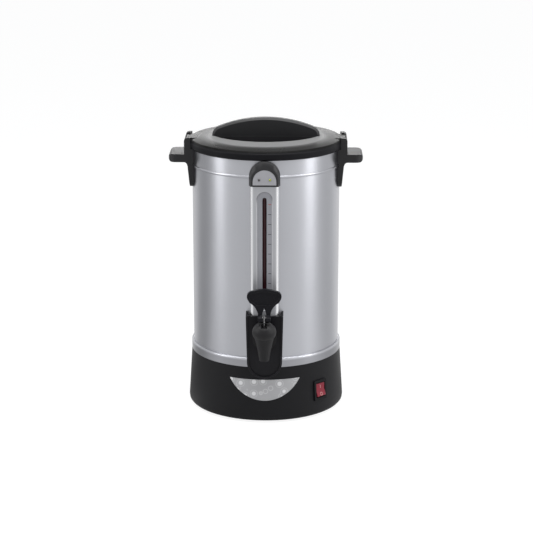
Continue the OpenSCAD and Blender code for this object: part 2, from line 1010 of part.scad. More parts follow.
module gauge_tee() {
  back = -(shell_r + 0.7);
  color("#3a3a3c")
    difference() {
      union() {
        bar_y(shank_r + tee_wall, tee_front, back, z_shank);
        translate([-tee_w / 2, tee_front, z_shank])
          cube([tee_w, back - tee_front, z_tee - z_shank]);
      }
      bar_y(shank_r + run, tee_front - cut, 0, z_shank);
      translate([0, tube_y, z_shank])
        cylinder(r = tee_port_r, h = z_tee - z_shank);
      translate([0, tube_y, z_tee - socket_in])
        cylinder(r = tube_r + run, h = socket_in + cut);
    }
}

// Frame on the middle of the hood's lower front edge, sloped with the hood's front
module on_hood() {
  translate([0, -(shell_r + hood_out), z_hood])
    rotate([-hood_tilt, 0, 0])
      children();
}

// Arch with upright sides, standing on z = 0
module arch(w, h) {
  intersection() {
    union() {
      translate([0, h - w / 2])
        circle(w / 2, $fn = 48);
      translate([-w / 2, -h])
        square([w, 2 * h - w / 2]);
    }
    translate([-w, 0])
      square([2 * w, h]);
  }
}

// Outline of the silver face: a semicircle-like arch, moved in by inset
module face_outline(inset) {
  translate([0, face_rise + inset])
    arch(face_w - 2 * inset, face_h - 2 * inset);
}

module indicator_hood() {
  front_w = hood_w - 2 * hood_bevel;
  color("#2c2c2e")
    difference() {
      hull() {
        along_y(-(shell_r + 5), -(shell_r - 4))
          translate([0, z_hood])
            arch(hood_w, hood_h);
        on_hood()
          along_y(0, 1)
            arch(front_w, hood_h - 2 * hood_bevel);
      }
      translate([0, 0, z_hood - cut])
        cylinder(r = shell_r + fit, h = hood_h + 2 * cut);
      ring(shell_r - cut, shell_r + bead_proud + fit, z_bead - bead_r - fit, z_bead + bead_r + fit);
      on_hood() {
        along_y(-cut, face_t)
          face_outline(0);
        along_y(-cut, 2 * hood_out)
          face_outline(hood_wall);
      }
      translate([-spine_w / 2 - fit, spine_y - fit, z_hood - cut])
        cube([spine_w + 2 * fit, shell_r, z_spine - z_hood + cut + fit]);
    }
}

module indicator_face() {
  color("#b8b8bc")
    on_hood()
      difference() {
        along_y(0, face_t)
          face_outline(face_play);
        for (x = [-lamp_x, lamp_x])
          translate([x, 0, face_rise + lamp_z])
            rotate([90, 0, 0])
              cylinder(r = lamp_r + run, h = through, center = true);
      }
}

// Lens of one lamp, with its stem reaching back to the board
module lamp(x) {
  on_hood()
    translate([x, 0, face_rise + lamp_z]) {
      sphere(lamp_r);
      bar_y(lamp_r, 0, board_back, 0);
    }
}

module boil_lamp() {
  color("#5a1214")
    lamp(-lamp_x);
}

module warm_lamp() {
  color("#b7c24a")
    lamp(lamp_x);
}

module indicator_board() {
  color("darkgreen")
    on_hood()
      along_y(board_back, board_back + board_t)
        intersection() {
          face_outline(hood_wall + fit);
          translate([-hood_w, face_rise + lamp_z - lamp_r - 1])
            square([2 * hood_w, hood_h]);
        }
}

// Side view of a handle's post and bar on the right, in X and Z
module post_side() {
  x0 = shell_r - 6;
  post_round = 5;
  translate([x0, z_bar])
    square([post_x - x0, z_post - z_bar - post_round]);
  translate([x0, z_bar])
    square([post_x - x0 - post_round, z_post - z_bar]);
  translate([post_x - post_round, z_post - post_round])
    circle(post_round);
  translate([x0, z_bar])
    square([bar_x - bar_round - x0, bar_t]);
  translate([x0, z_bar + bar_round])
    square([bar_x - x0, bar_t - 2 * bar_round]);
  for (z = [z_bar + bar_round, z_bar + bar_t - bar_round])
    translate([bar_x - bar_round, z])
      circle(bar_round);
}

// Side view of the leg that tapers down the shell
module leg_side() {
  x0 = shell_r - 6;
  polygon([
    [x0, z_bar + bar_t / 2],
    [shell_r + leg_top_out, z_bar + bar_t / 2],
    [shell_r + leg_top_out, z_bar],
    [shell_r + leg_end_out, z_leg],
    [x0, z_leg]
  ]);
}

// Side view of the fillet between the bar's underside and the leg
module fillet_side() {
  x0 = shell_r + leg_top_out - 3 * cut;
  difference() {
    translate([x0, z_bar - bar_fillet])
      square([bar_fillet + 3 * cut, bar_fillet + 2 * cut]);
    translate([x0 + bar_fillet + 3 * cut, z_bar - bar_fillet])
      circle(bar_fillet);
  }
}

module handle() {
  half = handle_w / 2;
  leg_corner = 12;
  ribs = 3;
  cell = (handle_w - bar_wall) / ribs;
  difference() {
    intersection() {
      union() {
        along_y(-half, half)
          post_side();
        along_y(-half, half)
          leg_side();
        along_y(-half, half)
          fillet_side();
      }
      translate([0, 0, z_leg])
        linear_extrude(z_post - z_leg)
          bar_plan(0);
      along_x(0, bar_x) {
        translate([-half, z_leg + leg_corner])
          square([handle_w, z_post - z_leg - leg_corner]);
        translate([leg_corner - half, z_leg])
          square([handle_w - 2 * leg_corner, z_post - z_leg]);
        for (s = [-1, 1])
          translate([s * (half - leg_corner), z_leg + leg_corner])
            circle(leg_corner);
      }
    }
    translate([0, 0, z_leg - cut])
      cylinder(r = shell_r + fit, h = leg_drop + cut);
    ring(shell_r - cut, shell_r + bead_proud + fit, z_bead - bead_r - fit, z_bead + bead_r + fit);
    translate([0, 0, z_collar - fit])
      cylinder(r = collar_r + fit, h = post_rise + collar_skirt + cut);
    translate([0, -lug_w / 2 - lug_play, z_seat - pass])
      cube([lug_x + lug_play, lug_w + 2 * lug_play, post_rise]);
    intersection() {
      for (k = [0 : ribs - 1])
        translate([post_x, bar_wall - half + k * cell, z_bar - cut])
          cube([handle_reach, cell - bar_wall, bar_t - bar_wall + cut]);
      translate([0, 0, z_bar - 2 * cut])
        linear_extrude(bar_t)
          bar_plan(bar_wall);
    }
    handle_screw_holes();
  }
}

// Plan of the handle, moved in by inset
module bar_plan(inset) {
  translate([0, inset - handle_w / 2])
    square([bar_x - bar_corner, handle_w - 2 * inset]);
  translate([0, bar_corner - handle_w / 2])
    square([bar_x - inset, handle_w - 2 * bar_corner]);
  for (s = [-1, 1])
    translate([bar_x - bar_corner, s * (handle_w / 2 - bar_corner)])
      circle(bar_corner - inset);
}

// Axes of the four handle screws, pointing out from the shell's inner face
module at_handle_screws() {
  for (side = [0, 180], turn = [-1, 1])
    rotate([0, 0, side + turn * handle_screw_turn])
      translate([shell_in, 0, z_handle_screw])
        rotate([0, 90, 0])
          children();
}

module handle_screw_holes() {
  at_handle_screws()
    translate([0, 0, -cut])
      cylinder(r = handle_screw_r + run, h = handle_screw_len + cut + fit);
}

module handle_right() {
  color("#2a2a2c")
    handle();
}

module handle_left() {
  color("#2a2a2c")
    mirror([1, 0, 0])
      handle();
}

module handle_screws() {
  sag = 0.1;
  color("lightgray")
    at_handle_screws()
      translate([0, 0, -sag])
        screw_up(handle_screw_r, handle_screw_len + sag, screw_head_r, screw_head_t);
}

// Pointed oval of the finger wells, grown by w
module well_lens(w) {
  lens_r = (pow(well_len, 2) + pow(well_reach, 2)) / (2 * well_reach);
  intersection_for (s = [-1, 1])
    translate([0, s * (lens_r - well_reach)])
      circle(lens_r + w, $fn = 200);
}

// Front and rear halves of that oval, without the strip that carries the grip
module well_plan(w) {
  strip = grip_w / 2 - w;
  difference() {
    well_lens(w);
    translate([-lid_r, -strip])
      square([2 * lid_r, 2 * strip]);
  }
}

module at_grip_screws() {
  for (s = [-1, 1])
    translate([s * grip_screw_x, 0, z_top])
      children();
}

module at_liner_screws() {
  for (k = [0 : liner_screw_count - 1])
    rotate([0, 0, 90 + k * 360 / liner_screw_count])
      translate([liner_pitch_r, 0, z_plug])
        children();
}

module lid_shell() {
  edge = 1.6;
  plateau_r = lid_r - lid_border;
  z_edge = z_seat + lid_h / 2;
  z_under = z_top - lid_t;
  well_floor = z_top - well_depth;
  strip_x = grip_screw_x + 2 * screw_head_r;
  border = lid_r - edge - plateau_r;
  fall = z_top - z_edge;
  dome_r = (pow(border, 2) + pow(fall, 2)) / (2 * fall);
  dome_turn = asin(border / dome_r);
  steps = 8;
  dome = [
    for (i = [0 : steps])
      let (a = dome_turn * i / steps)
      [plateau_r + dome_r * sin(a), z_top - dome_r * (1 - cos(a))]
  ];
  color("#2d2d30")
    difference() {
      union() {
        rotate_extrude()
          polygon(concat([[0, z_under], [0, z_top]], dome, [
            [lid_r, z_edge - edge],
            [lid_r, z_seat],
            [plug_r, z_seat],
            [plug_r, z_plug],
            [plug_r - lid_t, z_plug],
            [plug_r - lid_t, z_under]
          ]));
        translate([0, 0, well_floor - lid_t])
          linear_extrude(well_depth)
            well_plan(lid_t);
        translate([-strip_x, -grip_w / 2 + lid_t / 2, z_top - strip_t])
          cube([2 * strip_x, grip_w - lid_t, strip_t - lid_t / 2]);
        at_liner_screws()
          cylinder(r = liner_boss_r, h = z_under - z_plug + cut);
        for (s = [-1, 1])
          translate([s * (plug_r + lug_x + 3.5 * lid_t) / 2, 0, z_seat + lug_t / 2])
            cube([lug_x - plug_r + 4.5 * lid_t, lug_w, lug_t], center = true);
      }
      translate([0, 0, well_floor])
        linear_extrude(well_depth + cut)
          well_plan(0);
      translate([-strip_x, lid_t - grip_w / 2, z_top - strip_dip])
        cube([2 * strip_x, grip_w - 2 * lid_t, strip_dip + cut]);
      at_grip_screws()
        cylinder(r = grip_screw_r + fit, h = 4 * strip_t, center = true);
      at_liner_screws()
        translate([0, 0, -cut])
          cylinder(r = grip_screw_r + run, h = grip_screw_len);
      difference() {
        translate([0, 0, z_seat])
          cylinder(r = 2 * lid_r, h = lid_h);
        translate([0, 0, z_seat - cut])
          cylinder(r = lug_x, h = lid_h + 2 * cut);
      }
    }
}

// Slice of a bevelled disc on edge, about the Y axis: r is its radius, w its width
module grip_slice(r, w, bevel, from, sweep) {
  rotate([90, 0, 0])
    rotate([0, 0, from])
      rotate_extrude(angle = sweep, $fn = 240)
        polygon([
          [0, -w / 2], [r - bevel, -w / 2], [r, bevel - w / 2],
          [r, w / 2 - bevel], [r - bevel, w / 2], [0, w / 2]
        ]);
}

// Arch on z = 0 with a flat crown and tighter ends, moved in by inset
module grip_form(inset, bevel) {
  end_x = well_len - grip_end_r;
  crown_r = (pow(end_x, 2) + pow(grip_rise, 2) - pow(grip_end_r, 2)) / (2 * (grip_rise - grip_end_r));
  turn = atan(end_x / (crown_r - grip_rise));
  w = grip_w - 2 * inset;
  for (half = [0, 180])
    rotate([0, 0, half]) {
      intersection() {
        translate([0, 0, grip_rise - crown_r])
          grip_slice(crown_r - inset, w, bevel, 90 - turn, 1.2 * turn);
        translate([-well_len, -grip_w, 0])
          cube([2 * well_len, 2 * grip_w, grip_rise + cut]);
      }
      translate([end_x, 0, 0])
        grip_slice(grip_end_r - inset, w, bevel, 0, 90 - turn);
    }
}

module lid_grip() {
  color("#262629")
    difference() {
      translate([0, 0, z_top])
        grip_form(0, grip_bevel);
      difference() {
        translate([0, 0, z_top])
          grip_form(grip_t, 0);
        at_grip_screws()
          cylinder(r = grip_boss_r, h = grip_rise);
      }
      at_grip_screws()
        translate([0, 0, -cut])
          cylinder(r = grip_screw_r + run, h = grip_screw_len - strip_t + cut + fit);
    }
}

module grip_screws() {
  color("lightgray")
    at_grip_screws()
      translate([0, 0, -strip_t])
        screw_up(grip_screw_r, grip_screw_len, screw_head_r, screw_head_t);
}

module lid_seal() {
  lip = 7;
  color("#d9d9d6")
    rotate_extrude()
      polygon([
        [plug_r - 2 * lid_t, z_liner],
        [tank_r - pass, z_liner],
        [tank_r - pass, z_plug + lip],
        [plug_r + run, z_plug + lip],
        [plug_r + run, z_plug],
        [plug_r - 2 * lid_t, z_plug]
      ]);
}

module lid_liner() {
  color("gainsboro")
    difference() {
      translate([0, 0, z_liner - sheet_t])
        cylinder(r = plug_r, h = sheet_t);
      at_liner_screws()
        cylinder(r = grip_screw_r + fit, h = 8 * lid_t, center = true);
    }
}

module liner_screws() {
  color("lightgray")
    at_liner_screws()
      translate([0, 0, -seal_t - sheet_t])
        screw_up(grip_screw_r, grip_screw_len - 2, screw_head_r, screw_head_t);
}

// Front view of the shield, moved in by inset
module shield_front(inset) {
  r = shield_w / 2;
  z0 = z_shield_foot + r;
  z1 = z_shield_top + 4 * shield_out;
  slope = shield_flare / 2 / (z_shield_top - z0);
  translate([0, z0])
    circle(r - inset);
  polygon([
    [inset - r, z0], [r - inset, z0],
    [r - inset + slope * (z1 - z0), z1], [inset - r - slope * (z1 - z0), z1]
  ]);
}

module tap_shield() {
  rise = (shield_out + shell_r) * tan(shield_slope);
  color("#1d1d1f")
    difference() {
      intersection() {
        along_y(shield_y, -shell_r / 2)
          shield_front(0);
        along_x(-shield_w, shield_w)
          polygon([
            [shield_y - cut, z_shield_foot - cut],
            [shield_y - cut, z_shield_top],
            [shield_y, z_shield_top],
            [0, z_shield_top + rise],
            [0, z_shield_foot - cut]
          ]);
      }
      along_y(shield_y - cut, panel_y)
        shield_front(shield_t);
      along_y(panel_back, 0)
        shield_front(shield_t);
      translate([-spine_w / 2 - fit, spine_y - fit, spine_foot - cut])
        cube([spine_w + 2 * fit, shell_r, z_rim]);
      rotate_extrude() {
        offset_section();
      }
      bar_y(shank_r + fit, shield_y - cut, 0, z_shank);
      translate([-spine_w / 2 - fit, shield_y - cut, z_shield_top])
        cube([spine_w + 2 * fit, shell_r, z_rim]);
    }
}

// Half section of the vessel and base, with the clearance of a piece that lies on them
module offset_section() {
  shell_section(-fit, 0);
  skirt_section(-fit);
}

// Section of the valve body about the tap's axis
module body_section() {
  waist = z_spout + spout_drop / 2;
  knee = z_shank + shank_r / 3;
  difference() {
    union() {
      polygon([
        [0, z_spout],
        [spout_r, z_spout],
        [spout_r + 2.1, waist],
        [bowl_r - 1.4, knee],
        [bowl_r, z_seam],
        [0, z_seam]
      ]);
      translate([0, knee])
        square([chamber_r + thread_wall, z_seam + collar_up - knee]);
    }
    translate([-cut, z_cup])
      square([chamber_r + cut, z_bonnet - z_cup]);
    translate([-cut, z_spout - cut])
      square([spout_bore_r + cut, z_cup - z_spout + 2 * cut]);
  }
}

// Section of the shank and its flange about the shank's axis: x is the radius, y the way in
module shank_section() {
  from = chamber_r + 1.2;
  flange = panel_y - tap_y;
  polygon([
    [passage_r, from],
    [shank_r + 0.6, from],
    [shank_r + 0.6, flange - flange_t],
    [flange_r, flange - flange_t],
    [flange_r, flange],
    [shank_r, flange],
    [shank_r, -tap_y - shank_end],
    [passage_r, -tap_y - shank_end]
  ]);
}

module tap_body() {
  color("#333336")
    difference() {
      union() {
        translate([0, tap_y, 0])
          rotate_extrude()
            body_section();
        translate([0, tap_y, z_shank])
          rotate([-90, 0, 0])
            rotate_extrude()
              shank_section();
      }
      bar_y(passage_r - run, tap_y, tap_y + bowl_r, z_shank);
      translate([0, tube_y, z_shank + passage_r / 2])
        cylinder(r = tee_port_r, h = 2 * shank_r);
    }
}

module tap_bonnet() {
  thread_r = chamber_r + thread_wall;
  color("#3c3c40")
    translate([0, tap_y, 0])
      difference() {
        union() {
          rotate_extrude()
            intersection() {
              union() {
                translate([bulge_c, z_bulge])
                  circle(bonnet_round);
                translate([0, z_seam])
                  square([bulge_c, z_bonnet - z_seam]);
              }
              translate([0, z_seam])
                square([bonnet_r + cut, z_bonnet - z_seam]);
            }
          ring(neck_r - neck_wall, neck_r, z_bonnet - cut, z_neck);
        }
        translate([0, 0, z_seam - cut])
          cylinder(r = thread_r + fit, h = collar_up + cut + fit);
        translate([0, 0, z_seam])
          cylinder(r = chamber_r, h = z_ceiling - z_seam);
        translate([0, 0, z_seam])
          cylinder(r = stem_r + run, h = z_bonnet - z_seam + cut);
        translate([-neck_window / 2, -bonnet_r, z_neck - window_foot])
          cube([neck_window, 2 * bonnet_r, window_foot - 1]);
      }
}

// Rings that seal the shank on the shell and the tank
module tap_seals() {
  color("#c9c7c2")
    difference() {
      union() {
        difference() {
          bar_y(gasket_r - 1, -(shell_r + 0.7), -shell_in, z_shank);
          cylinder(r = shell_r + 0.02, h = z_rim);
        }
        intersection() {
          bar_y(gasket_r, -shell_r, -tank_r + 2, z_shank);
          ring(tank_out + 0.02, shell_in - 0.02, z_deck, z_rim);
        }
        intersection() {
          bar_y(gasket_r, -tank_out, -gasket_flat, z_shank);
          cylinder(r = tank_r - 0.02, h = z_rim);
        }
      }
      bar_y(shank_r + run, -ring_r, 0, z_shank);
    }
}

module tap_nut() {
  color("#d8d8d4")
    translate([0, -gasket_flat, z_shank])
      rotate([-90, 0, 0])
        difference() {
          cylinder(r = nut_r, h = nut_t, $fn = 6);
          translate([0, 0, -cut])
            cylinder(r = shank_r + run, h = nut_t + 2 * cut);
        }
}

module valve_stem() {
  color("#c2c2c6")
    translate([0, tap_y, 0])
      difference() {
        union() {
          translate([0, 0, z_cup + stem_foot])
            cylinder(r = stem_r, h = z_pin + stem_top - z_cup - stem_foot);
          translate([0, 0, z_cup + stem_foot])
            cylinder(r = stem_button_r, h = stem_button_t);
        }
        translate([0, 0, z_pin])
          bar_x_round(lever_pin_r + run, -4 * stem_r, 4 * stem_r);
      }
}

module seat_cup() {
  color("#dcdad4")
    translate([0, tap_y, z_cup])
      difference() {
        rotate_extrude()
          polygon([
            [0, 0], [cup_r - 1, 0], [cup_r, 1], [cup_r, cup_h - 2], [cup_r - 1.6, cup_h], [0, cup_h]
          ]);
        translate([0, 0, stem_foot])
          cylinder(r = stem_r + run, h = cup_h);
        translate([0, 0, stem_foot])
          cylinder(r = stem_button_r + run, h = stem_button_t + run);
      }
}

// Closing spring between the seat cup and the bonnet
module tap_spring() {
  coil_r = stem_r + 2;
  z0 = z_cup + cup_h + wire_r + run;
  z1 = z_ceiling - wire_r - run;
  steps = 10;
  pitch = (z1 - z0) / spring_turns;
  path = [
    for (i = [0 : steps * spring_turns])
      [coil_r * cos(i * 360 / steps), tap_y + coil_r * sin(i * 360 / steps), z0 + pitch * i / steps]
  ];
  color("lightsteelblue")
    wire(path, wire_r, [0, 0, 1]);
}

// Fan-shaped outline of the paddle above the pin, in X and Z
module paddle_outline() {
  tip_r = 0.16 * paddle_w;
  tip_z = paddle_top - 0.22 * paddle_w;
  crown_r = 1.04 * paddle_w;
  flank_r = 0.48 * paddle_w;
  flank_z = 2;
  offset(r = -1.5)
    offset(r = 1.5)
      difference() {
        hull() {
          intersection() {
            translate([0, paddle_top - crown_r])
              circle(crown_r);
            translate([tip_r - paddle_w / 2, tip_z])
              square([paddle_w - 2 * tip_r, paddle_top]);
          }
          for (s = [-1, 1])
            translate([s * (paddle_w / 2 - tip_r), tip_z])
              circle(tip_r);
          translate([-lever_neck_w / 2, 0])
            square([lever_neck_w, 1]);
        }
        for (s = [-1, 1])
          translate([s * (lever_neck_w / 2 + flank_r), flank_z])
            circle(flank_r);
      }
}

// Side view of the lever's heel about its pin, in Y and Z: as the lever tilts, the
// curved front keeps the pin lift_per_rad higher for each radian
module heel_outline() {
  k = lift_per_rad;
  steps = 10;
  reach = paddle_t / 2 + 2;
  curve = [
    for (i = [0 : steps])
      let (a = lever_tilt * i / steps, p = heel_h + k * a * PI / 180)
      [-p * sin(a) - k * cos(a), -p * cos(a) + k * sin(a)]
  ];
  polygon(concat(
    [[reach, 4.5], [reach, -heel_h + 1.5], [reach - 1.5, -heel_h]],
    curve,
    [[curve[steps][0] + 1, 1.5], [-reach, 4.5]]
  ));
}

module tap_lever() {
  window_w = 8;
  window_z = 3;
  window_h = 12.4;
  slot_top = norm([stem_top, stem_r]) + pass;
  dish = 0.8;
  color("#1f1f22")
    translate([0, tap_y, z_pin])
      difference() {
        union() {
          along_y(-paddle_t / 2, paddle_t / 2)
            difference() {
              paddle_outline();
              translate([-paddle_w, -paddle_w])
                square([2 * paddle_w, paddle_w + 2]);
            }
          along_x(-fork_w / 2, fork_w / 2)
            heel_outline();
        }
        along_y(-paddle_t / 2 - cut, dish - paddle_t / 2)
          intersection() {
            offset(delta = -3.4)
              paddle_outline();
            translate([-paddle_w, window_z + window_h + 4])
              square(2 * paddle_w);
          }
        along_y(-through, through)
          polygon([[-window_w / 2, window_z], [window_w / 2, window_z], [0, window_z + window_h]]);
        translate([-slot_half, -through, -2 * heel_h])
          cube([2 * slot_half, 2 * through, 2 * heel_h + slot_top]);
        bar_x_round(lever_pin_r + run, -fork_w, fork_w);
      }
}

// Point p of the frame on the skirt's face, seen from the origin
function skirt_point(az, z, p) =
  let (
    c = cos(skirt_draft),
    s = sin(skirt_draft),
    y = p[1] * c + p[2] * s - skirt_radius(z),
    h = p[2] * c - p[1] * s + z
  )
  [p[0] * cos(az) - y * sin(az), p[0] * sin(az) + y * cos(az), h];

// Lead between two terminals, which leaves each of them along da and db
module lead(a, da, b, db) {
  steps = 16;
  p0 = a + lead_gap * da / norm(da);
  p3 = b + lead_gap * db / norm(db);
  p1 = a + da;
  p2 = b + db;
  path = [
    for (i = [0 : steps])
      let (t = i / steps, s = 1 - t)
      s * s * s * p0 + 3 * s * s * t * p1 + 3 * s * t * t * p2 + t * t * t * p3
  ];
  wire(path, lead_r, cross(da, b - a));
}

// Leads from the inlet through the switch, the thermostat, the element and the cut-out
module wiring() {
  slack = 40;
  down = [0, 0, -slack];
  short = 0.6 * down;
  inwards = [0, -slack, 0];
  to_middle = slack * [-sin(switch_az), cos(switch_az), 0];
  tail = socket_depth + blade_tail;
  z_in = foot_h + inlet_z;
  live = skirt_point(180, z_in, [-blade_x, tail, -blade_z]);
  neutral = skirt_point(180, z_in, [blade_x, tail, -blade_z]);
  earth = skirt_point(180, z_in, [0, tail, blade_z]);
  tip = housing_depth + tab_len;
  z_sw = foot_h + switch_z;
  switch_in = skirt_point(switch_az, z_sw, [bezel_w / 5, tip, -bezel_h / 5]);
  switch_out = skirt_point(switch_az, z_sw, [bezel_w / 5, tip, bezel_h / 5]);
  z_tab = z_heater - sensor_h - sensor_tab;
  leg_x = element_r * sin(element_gap / 2);
  leg_y = element_r * cos(element_gap / 2);
  z_end = z_heater - rod_r - element_leg;
  color("#4d4f55") {
    lead(live, inwards, switch_in, to_middle);
    lead(switch_out, to_middle, [sensor_x + sensor_r / 2, sensor_y, z_tab], down);
    lead([sensor_x - sensor_r / 2, sensor_y, z_tab], short, [leg_x, leg_y, z_end], short);
    lead([-leg_x, leg_y, z_end], short, [sensor_r / 2 - sensor_x, sensor_y, z_tab], short);
    lead([-sensor_x - sensor_r / 2, sensor_y, z_tab], down, neutral, inwards);
    lead(earth, inwards, [0, leg_y / 2, z_heater], down);
  }
}

module lever_pin() {
  color("lightgray")
    translate([0, tap_y, z_pin])
      bar_x_round(lever_pin_r, -fork_w / 2, fork_w / 2);
}

tank();
outer_shell();
rim_collar();
base_skirt();
base_plate();
base_screws();
feet();
trim_panel();
switch_housing();
switch_rocker();
switch_tabs();
inlet_socket();
inlet_pins();
heater_plate();
heating_element();
thermostat();
thermal_cutout();
tie_bolt();
tie_nut();
gauge_spine();
gauge_tube();
gauge_cap();
gauge_tee();
indicator_hood();
indicator_face();
boil_lamp();
warm_lamp();
indicator_board();
handle_left();
handle_right();
handle_screws();
lid_shell();
lid_grip();
lid_liner();
lid_seal();
grip_screws();
liner_screws();
tap_shield();
tap_body();
tap_bonnet();
tap_seals();
tap_nut();
tap_lever();
lever_pin();
valve_stem();
seat_cup();
tap_spring();
wiring();
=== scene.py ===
# %% [markdown]
# # Electric water boiler
# A tall steel urn on a black base, with a sight gauge, a lever tap, two handles and a lift-off lid. The
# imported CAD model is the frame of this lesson: every solid is already in its place, in metres, and moves
# with its body. The solids could be modelled again as meshes, but they have the true shapes and sizes, so
# each one keeps its mesh and gets its finish and softened edges. Only the tap's spring, which shortens, is
# made here.

# %% Load the frame
import math
import bmesh
import bpy
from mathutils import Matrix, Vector


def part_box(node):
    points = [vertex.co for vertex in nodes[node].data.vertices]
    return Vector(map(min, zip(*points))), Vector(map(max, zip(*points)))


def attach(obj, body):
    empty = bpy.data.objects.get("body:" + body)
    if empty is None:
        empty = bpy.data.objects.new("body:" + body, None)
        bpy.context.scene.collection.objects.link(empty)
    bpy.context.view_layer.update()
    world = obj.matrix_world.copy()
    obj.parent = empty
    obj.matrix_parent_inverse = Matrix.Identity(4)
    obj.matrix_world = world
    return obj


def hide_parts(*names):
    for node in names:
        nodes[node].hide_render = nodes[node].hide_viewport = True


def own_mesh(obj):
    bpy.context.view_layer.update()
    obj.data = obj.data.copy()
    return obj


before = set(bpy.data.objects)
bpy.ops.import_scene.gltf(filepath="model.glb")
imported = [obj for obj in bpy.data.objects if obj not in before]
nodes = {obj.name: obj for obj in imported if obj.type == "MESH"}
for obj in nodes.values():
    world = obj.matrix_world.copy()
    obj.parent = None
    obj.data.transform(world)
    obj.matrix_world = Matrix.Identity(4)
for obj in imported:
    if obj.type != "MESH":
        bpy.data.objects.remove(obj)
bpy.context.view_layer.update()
scene = bpy.context.scene
scene.view_settings.view_transform = "Standard"

# %% [markdown]
# ## Camera
# The photograph was taken with a long lens from a little above the lid. A short lens close by would frame
# the urn as well, but it would swell the lid and shrink the base. A long lens far away keeps the sides
# nearly parallel, so the camera stands 2.6 m off and looks 15 degrees down.

# %% Camera
view_down, view_turn = math.radians(15.36), math.radians(1.0)
view_far = 2.641
focal_mm, sensor_mm, shift_right = 117.46, 36.0, 0.001
aim = Vector((0.0, 0.0, 0.2095))


def heading_of(turn, rise):
    """Unit vector away from the urn; turn is around from the front and rise is up, in radians."""
    return Vector((math.sin(turn) * math.cos(rise), -math.cos(turn) * math.cos(rise), math.sin(rise)))


back = heading_of(view_turn, view_down)
lens = bpy.data.cameras.new("long_lens")
lens.sensor_width = sensor_mm
lens.lens = focal_mm
lens.shift_x = shift_right
camera = bpy.data.objects.new("camera", lens)
scene.collection.objects.link(camera)
camera.location = aim + back * view_far
camera.rotation_euler = back.to_track_quat("Z", "Y").to_euler()
scene.camera = camera
print("camera at", [round(v, 3) for v in camera.location])

# %% [markdown]
# ## Node helpers
# Floor, room and finishes are all built from shader nodes. They could be added and linked one call at a
# time, which soon hides the idea of a recipe behind its wiring. These short functions add a node, link what
# feeds it and hand back its result, so that a recipe reads as a formula.

# %% Node helpers


def add(tree, kind, **values):
    """New node in a tree; values are attributes of the node or names of its inputs."""
    node = tree.nodes.new(kind)
    for key, value in values.items():
        if hasattr(node, key):
            setattr(node, key, value)
        else:
            node.inputs[key.replace("_", " ")].default_value = value
    return node


def link(start, end):
    """Wire from a result to an input of another node in the same tree."""
    end.id_data.links.new(start, end)


def math_node(tree, operation, a, b=None, clamp=False):
    """Math node whose operands are numbers or sockets."""
    node = add(tree, "ShaderNodeMath", operation=operation, use_clamp=clamp)
    for slot, value in enumerate((a, b)):
        if value is None:
            continue
        if isinstance(value, (int, float)):
            node.inputs[slot].default_value = value
        else:
            link(value, node.inputs[slot])
    return node.outputs[0]


def vector_node(tree, operation, a, b=None):
    """Vector math node whose operands are sockets or triples."""
    node = add(tree, "ShaderNodeVectorMath", operation=operation)
    for slot, value in enumerate((a, b)):
        if isinstance(value, tuple):
            node.inputs[slot].default_value = value
        elif value is not None:
            link(value, node.inputs[slot])
    return node


print("helpers: add, link, math_node, vector_node")

# %% [markdown]
# ## Floor and background
# A packshot stands on a seamless white sweep. A white backdrop under strong lamps would do, but that much
# light would bleach the steel. So the floor is a pale disc that glows a little for the camera, and it reads
# as white at a plain light while the soft shadow at the base stays. In the steel it shows a dark screen on
# each side, which draws the shell's darker bands.

# %% What the steel mirrors
right_gain, front_level = 0.1, 1.03
dark_screens = ((-108, 0.42), (107, 0.27))  # degrees around from the front, and how dark
screen_edge, screen_core = 0.90, 0.99


def ramp(tree, value, low, high, start=0.0, end=1.0):
    """Number that goes from start to end while a value goes from low to high, and stays there beyond."""
    node = add(tree, "ShaderNodeMapRange", From_Min=low, From_Max=high, To_Min=start, To_Max=end)
    link(value, node.inputs["Value"])
    return node.outputs["Result"]


def split(tree, vector):
    """The x, y and z of a vector."""
    axes = add(tree, "ShaderNodeSeparateXYZ")
    link(vector, axes.inputs[0])
    return axes.outputs["X"], axes.outputs["Y"], axes.outputs["Z"]


def seen_rays(tree):
    """1 for rays from the camera, from mirrors and through glass."""
    path = add(tree, "ShaderNodeLightPath")
    one = math_node(tree, "MAXIMUM", path.outputs["Is Camera Ray"], path.outputs["Is Glossy Ray"])
    return math_node(tree, "MAXIMUM", one, path.outputs["Is Transmission Ray"])


def studio_shade(tree, heading):
    """Brightness of the studio in steel: a little brighter to the right, with a dark screen each side."""
    across = split(tree, heading)[0]
    level = math_node(tree, "ADD", math_node(tree, "MULTIPLY", across, right_gain), front_level)
    for turn, darkness in dark_screens:
        towards = tuple(heading_of(math.radians(turn), 0.0))
        facing = vector_node(tree, "DOT_PRODUCT", heading, towards).outputs["Value"]
        screen = ramp(tree, facing, screen_edge, screen_core, 0.0, darkness)
        level = math_node(tree, "SUBTRACT", level, screen)
    return level


print("dark screens at", [turn for turn, darkness in dark_screens])

# %% Floor disc
floor_radius, floor_sides = 9.0, 96
floor_mesh = bpy.data.meshes.new("floor")
sweep = bmesh.new()
bmesh.ops.create_circle(sweep, cap_ends=True, segments=floor_sides, radius=floor_radius)
sweep.to_mesh(floor_mesh)
sweep.free()
floor = bpy.data.objects.new("floor", floor_mesh)
scene.collection.objects.link(floor)
print("floor sides", floor_sides)

# %% Paper of the floor
paper_tone, shadow_tone = (0.8, 0.8, 0.8, 1.0), (0.2, 0.2, 0.2, 1.0)
white, paper_glow = (1.0, 1.0, 1.0, 1.0), 0.89


def object_point(tree):
    """A point of the piece, in the piece's own axes."""
    return add(tree, "ShaderNodeTexCoord").outputs["Object"]


def mix_shaders(tree, factor, first, second):
    """The first shader where the factor is 0 and the second where it is 1."""
    node = add(tree, "ShaderNodeMixShader")
    for slot, socket in enumerate((factor, first, second)):
        link(socket, node.inputs[slot])
    return node.outputs[0]


